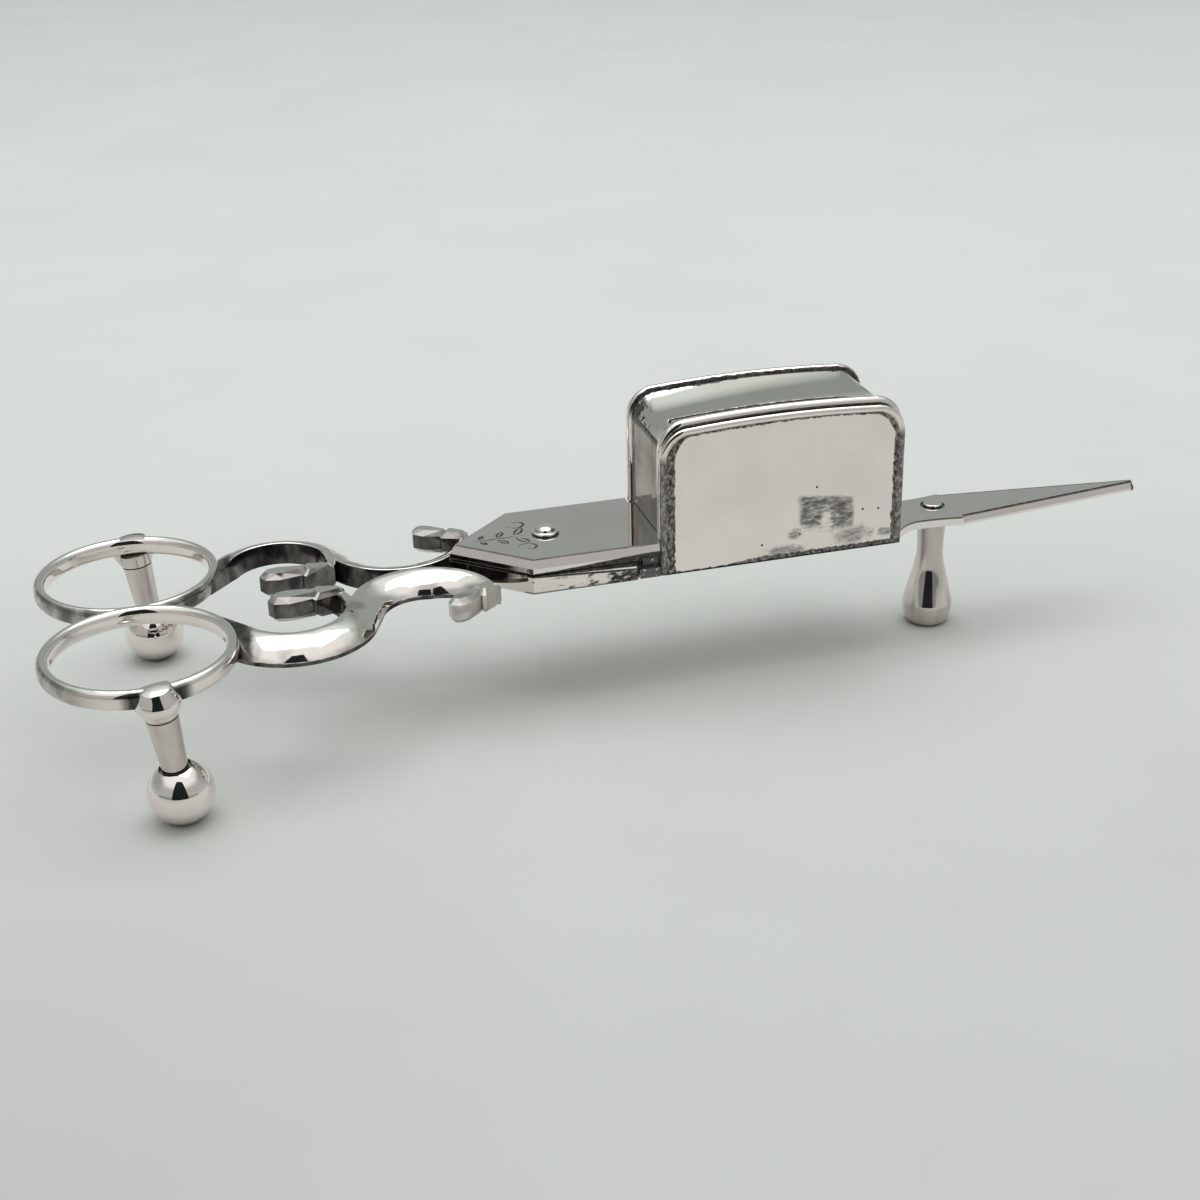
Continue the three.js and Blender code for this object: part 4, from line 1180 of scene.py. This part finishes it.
def bow_stain(f):
    """Tarnish on the bows beside the barrels; the bows are also darker where they face each other and at
    their rear.
    """
    out = abs(f.y)
    off_middle = (f.x - BOW_CENTRE.x).hypot(out - BOW_CENTRE.y) - BAND_MIDDLE
    on_band = off_middle.step(0.2, 0.5) * off_middle.step(1.1, 1.0)
    away = (f.x - FOOT_SEAT.x).hypot(out - FOOT_SEAT.y) + ragged(f, 1.2, 0.5)
    beside = away.step(5.4, 3.6) * f.z.within(BESIDE_LOW, BESIDE_HIGH, 1.0)
    inward = (out * -1 + BOW_CENTRE.y).step(0, 11)
    rear = (f.x - BOW_CENTRE.x).step(-5, -13) * 0.9
    mottle = f.noise(2.4, 3.0).step(0.3, 0.6) * 0.4 + 0.45
    return on_band * beside.most(inward.most(rear) * mottle)


def stem_veil(f):
    """Streaks down the stems and the front foot."""
    return f.noise(2.4, 2.0, (1, 1, 6)).step(0.3, 0.7) * 0.2 + 0.22


def handle(side, arm, scrolls, polished, dulled):
    low = span(f"{arm}_shank")[0].z
    middle = low + SHANK_TALL / 2
    top = low + SHANK_TALL
    high = top + BUD_RISE
    bow_place = Vector((BOW_CENTRE.x, side * BOW_CENTRE.y, middle))

    heading = math.pi - FRONT_BUD_TURN
    shapes = [shank_shape(top), curl_shape(top)]
    shapes += bud_shapes(REAR_BUD, REAR_BUD_HALF, REAR_BUD_NECK, REAR_NECK, math.pi, low, high)
    shapes += bud_shapes(FRONT_BUD, FRONT_BUD_HALF, FRONT_BUD_NECK, FRONT_NECK, heading, low, high)
    inside = moved(drum(BOW_RADIUS - LEAD_SINK, SHANK_TALL), bow_place)
    shank = built(f"{arm}_scrolls", [mirrored(shape, side) for shape in shapes], [inside])
    dress(shank, scrolls, arm, "handle_silver", f"{arm}_shank")

    boss_middle = Vector((FOOT_SEAT.x, side * FOOT_SEAT.y, middle - BOSS_DROP))
    ball_place = FOOT_SEAT + flat(FOOT_LEAN_X, -FOOT_LEAN_Y)
    line = Vector((ball_place.x, side * ball_place.y, BALL_RADIUS - BALL_FLAT)) - boss_middle
    lean = Vector((0, 0, -1)).rotation_difference(line)
    opening = moved(drum(BOW_RADIUS - BAND_WIDE + BOSS_RECESS, BOSS_TALL), bow_place)
    bow = built(f"{arm}_finger_bow", [moved(boss_shape(), boss_middle, lean)], [opening])
    combine(bow, moved(band_shape(), bow_place), "UNION")
    dress(bow, polished, arm, "handle_silver", f"{arm}_bow")
    stem = built(f"{arm}_stem", [moved(stem_shape(line.length), boss_middle, lean)])
    dress(stem, dulled, arm, "handle_silver", f"{arm}_foot_stem")
    points, faces = moved(ball_shape(line.length), boss_middle, lean)
    ball = built(f"{arm}_ball", [([Vector((p.x, p.y, max(p.z, 0))) for p in points], faces)])
    dress(ball, polished, arm, "handle_silver", f"{arm}_foot_ball")


# Studio

# paper colour, and the darker colour for its painted shade and blotches
PAPER_PALE = (0.67, 0.675, 0.66)
PAPER_DARK = (0.505, 0.50, 0.485)
FLOOR_REACH = 30.0  # metres


def matte(finish, colour):
    plug(finish.tree, finish.shader, {"Base Color": colour, "Roughness": 0.9, "Specular IOR Level": 0.0})
    return finish.material


def stage_sheet(name, corners, material):
    piece = new_piece(name, corners, [(0, 1, 2, 3)])
    piece.data.materials.append(material)
    return piece


def floor():
    """Pale paper with painted shade, a little darker towards the camera and the left."""
    paper = Finish("floor_paper")
    # painted shade: the paper darkens towards the camera and the front left, where the light falls off
    near = paper.y.step(150, -150)
    left = paper.x.step(20, -150) * near
    cloud = paper.noise(60, 3.0).step(0.3, 0.7) * 0.12
    colour = paper.mix((near + left) * 0.5 + cloud, PAPER_PALE, PAPER_DARK)
    square = rectangle(-FLOOR_REACH, FLOOR_REACH, -FLOOR_REACH, FLOOR_REACH)
    stage_sheet("floor", at_height(square, 0), matte(paper, colour))


def card(name, place, low_half, high_half, tall, colour):
    """A card that stands across the camera's direction and shows only in the polished metal."""
    across = Vector((math.cos(CAMERA_AZIMUTH), math.sin(CAMERA_AZIMUTH), 0))
    foot = Vector((place[0], place[1], 0.001))
    head = foot + Vector((0, 0, tall))
    corners = [foot - across * low_half, foot + across * low_half, head + across * high_half,
               head - across * high_half]
    piece = stage_sheet(name, corners, matte(Finish(name), (*colour, 1)))
    piece.visible_camera = False
    piece.visible_diffuse = False
    piece.visible_shadow = False


def lamp(name, place, size, power):
    """A lamp that shines towards the middle of the table."""
    light = bpy.data.lights.new(name, "AREA")
    light.shape = "RECTANGLE"
    light.size, light.size_y = size
    light.energy = power
    piece = linked(name, light)
    piece.location = place
    piece.rotation_euler = (-Vector(place)).to_track_quat("-Z", "Y").to_euler()


FAR_SIDE = ((0.0, 0.5), (0.28, 0.35), (0.57, 0.36), (0.75, 0.86), (1.0, 1.0))
NEAR_SIDE = ((0.0, 0.52), (0.22, 0.44), (0.5, 0.46), (0.7, 0.9), (1.0, 1.0))
FAR_TINT = (0.9, 1.0, 0.955)
NEAR_TINT = (0.99, 1.0, 0.985)


def world():
    """A pale room, white overhead, darker beyond the object than behind the camera.

    Each side is a list of heights, from the horizon at 0 to overhead at 1, with their tones.
    """
    sky = bpy.data.worlds.new("room")
    bpy.context.scene.world = sky
    sky.use_nodes = True
    tree = sky.node_tree
    place = wired(tree, "TexCoord", {})
    parts = wired(tree, "SeparateXYZ", {0: place.outputs["Generated"]})
    sides = []
    for stops, tint in ((FAR_SIDE, FAR_TINT), (NEAR_SIDE, NEAR_TINT)):
        ramp = wired(tree, "ValToRGB", {"Fac": parts.outputs["Z"]})
        elements = ramp.color_ramp.elements
        while len(elements) < len(stops):
            elements.new(0.5)
        for element, (height, tone) in zip(elements, stops):
            element.position = height
            element.color = (*[tone * share for share in tint], 1)
        sides.append(ramp.outputs["Color"])
    front = Field(tree, parts.outputs["Y"]).step(0.15, -0.35)
    plug(tree, tree.nodes["Background"], {"Color": mixed(tree, front, *sides)})


def camera():
    eye = bpy.data.cameras.new("camera")
    eye.lens = LENS
    eye.sensor_width = SENSOR
    eye.clip_start = 0.01
    piece = linked("camera", eye)
    facing = Matrix.Rotation(CAMERA_AZIMUTH, 4, "Z")
    tilt = Matrix.Rotation(math.pi / 2 - CAMERA_ELEVATION, 4, "X")
    roll = Matrix.Rotation(CAMERA_ROLL, 4, "Z")
    piece.matrix_world = Matrix.Translation(CAMERA_PLACE) @ facing @ tilt @ roll
    bpy.context.scene.camera = piece


bpy.context.scene.view_settings.view_transform = "Standard"
camera()
floor()
world()
lamp("overhead", place=(0.05, 0.15, 0.9), size=(0.9, 0.7), power=3.9)
card("tall_card", (-0.1, -0.35), low_half=0.17, high_half=0.1, tall=0.58, colour=(0.02, 0.023, 0.025))
card("table_edge", (-0.1, -0.36), low_half=0.8, high_half=0.8, tall=0.06, colour=(0.45, 0.46, 0.44))

box_arm_blade()
press_arm_blade()
box_pieces()
scrolls = silver("scroll_silver", scroll_tarnish_and_shade, scroll_veil, waves=0.4, rough=0.05, film=True)
polished = silver("polished_silver", bow_stain, film=True)
dulled = silver("stem_silver", veil=stem_veil)
turned_pieces(polished, dulled)
handle(1, BOX_ARM, scrolls, polished, dulled)
handle(-1, PRESS_ARM, scrolls, polished, dulled)
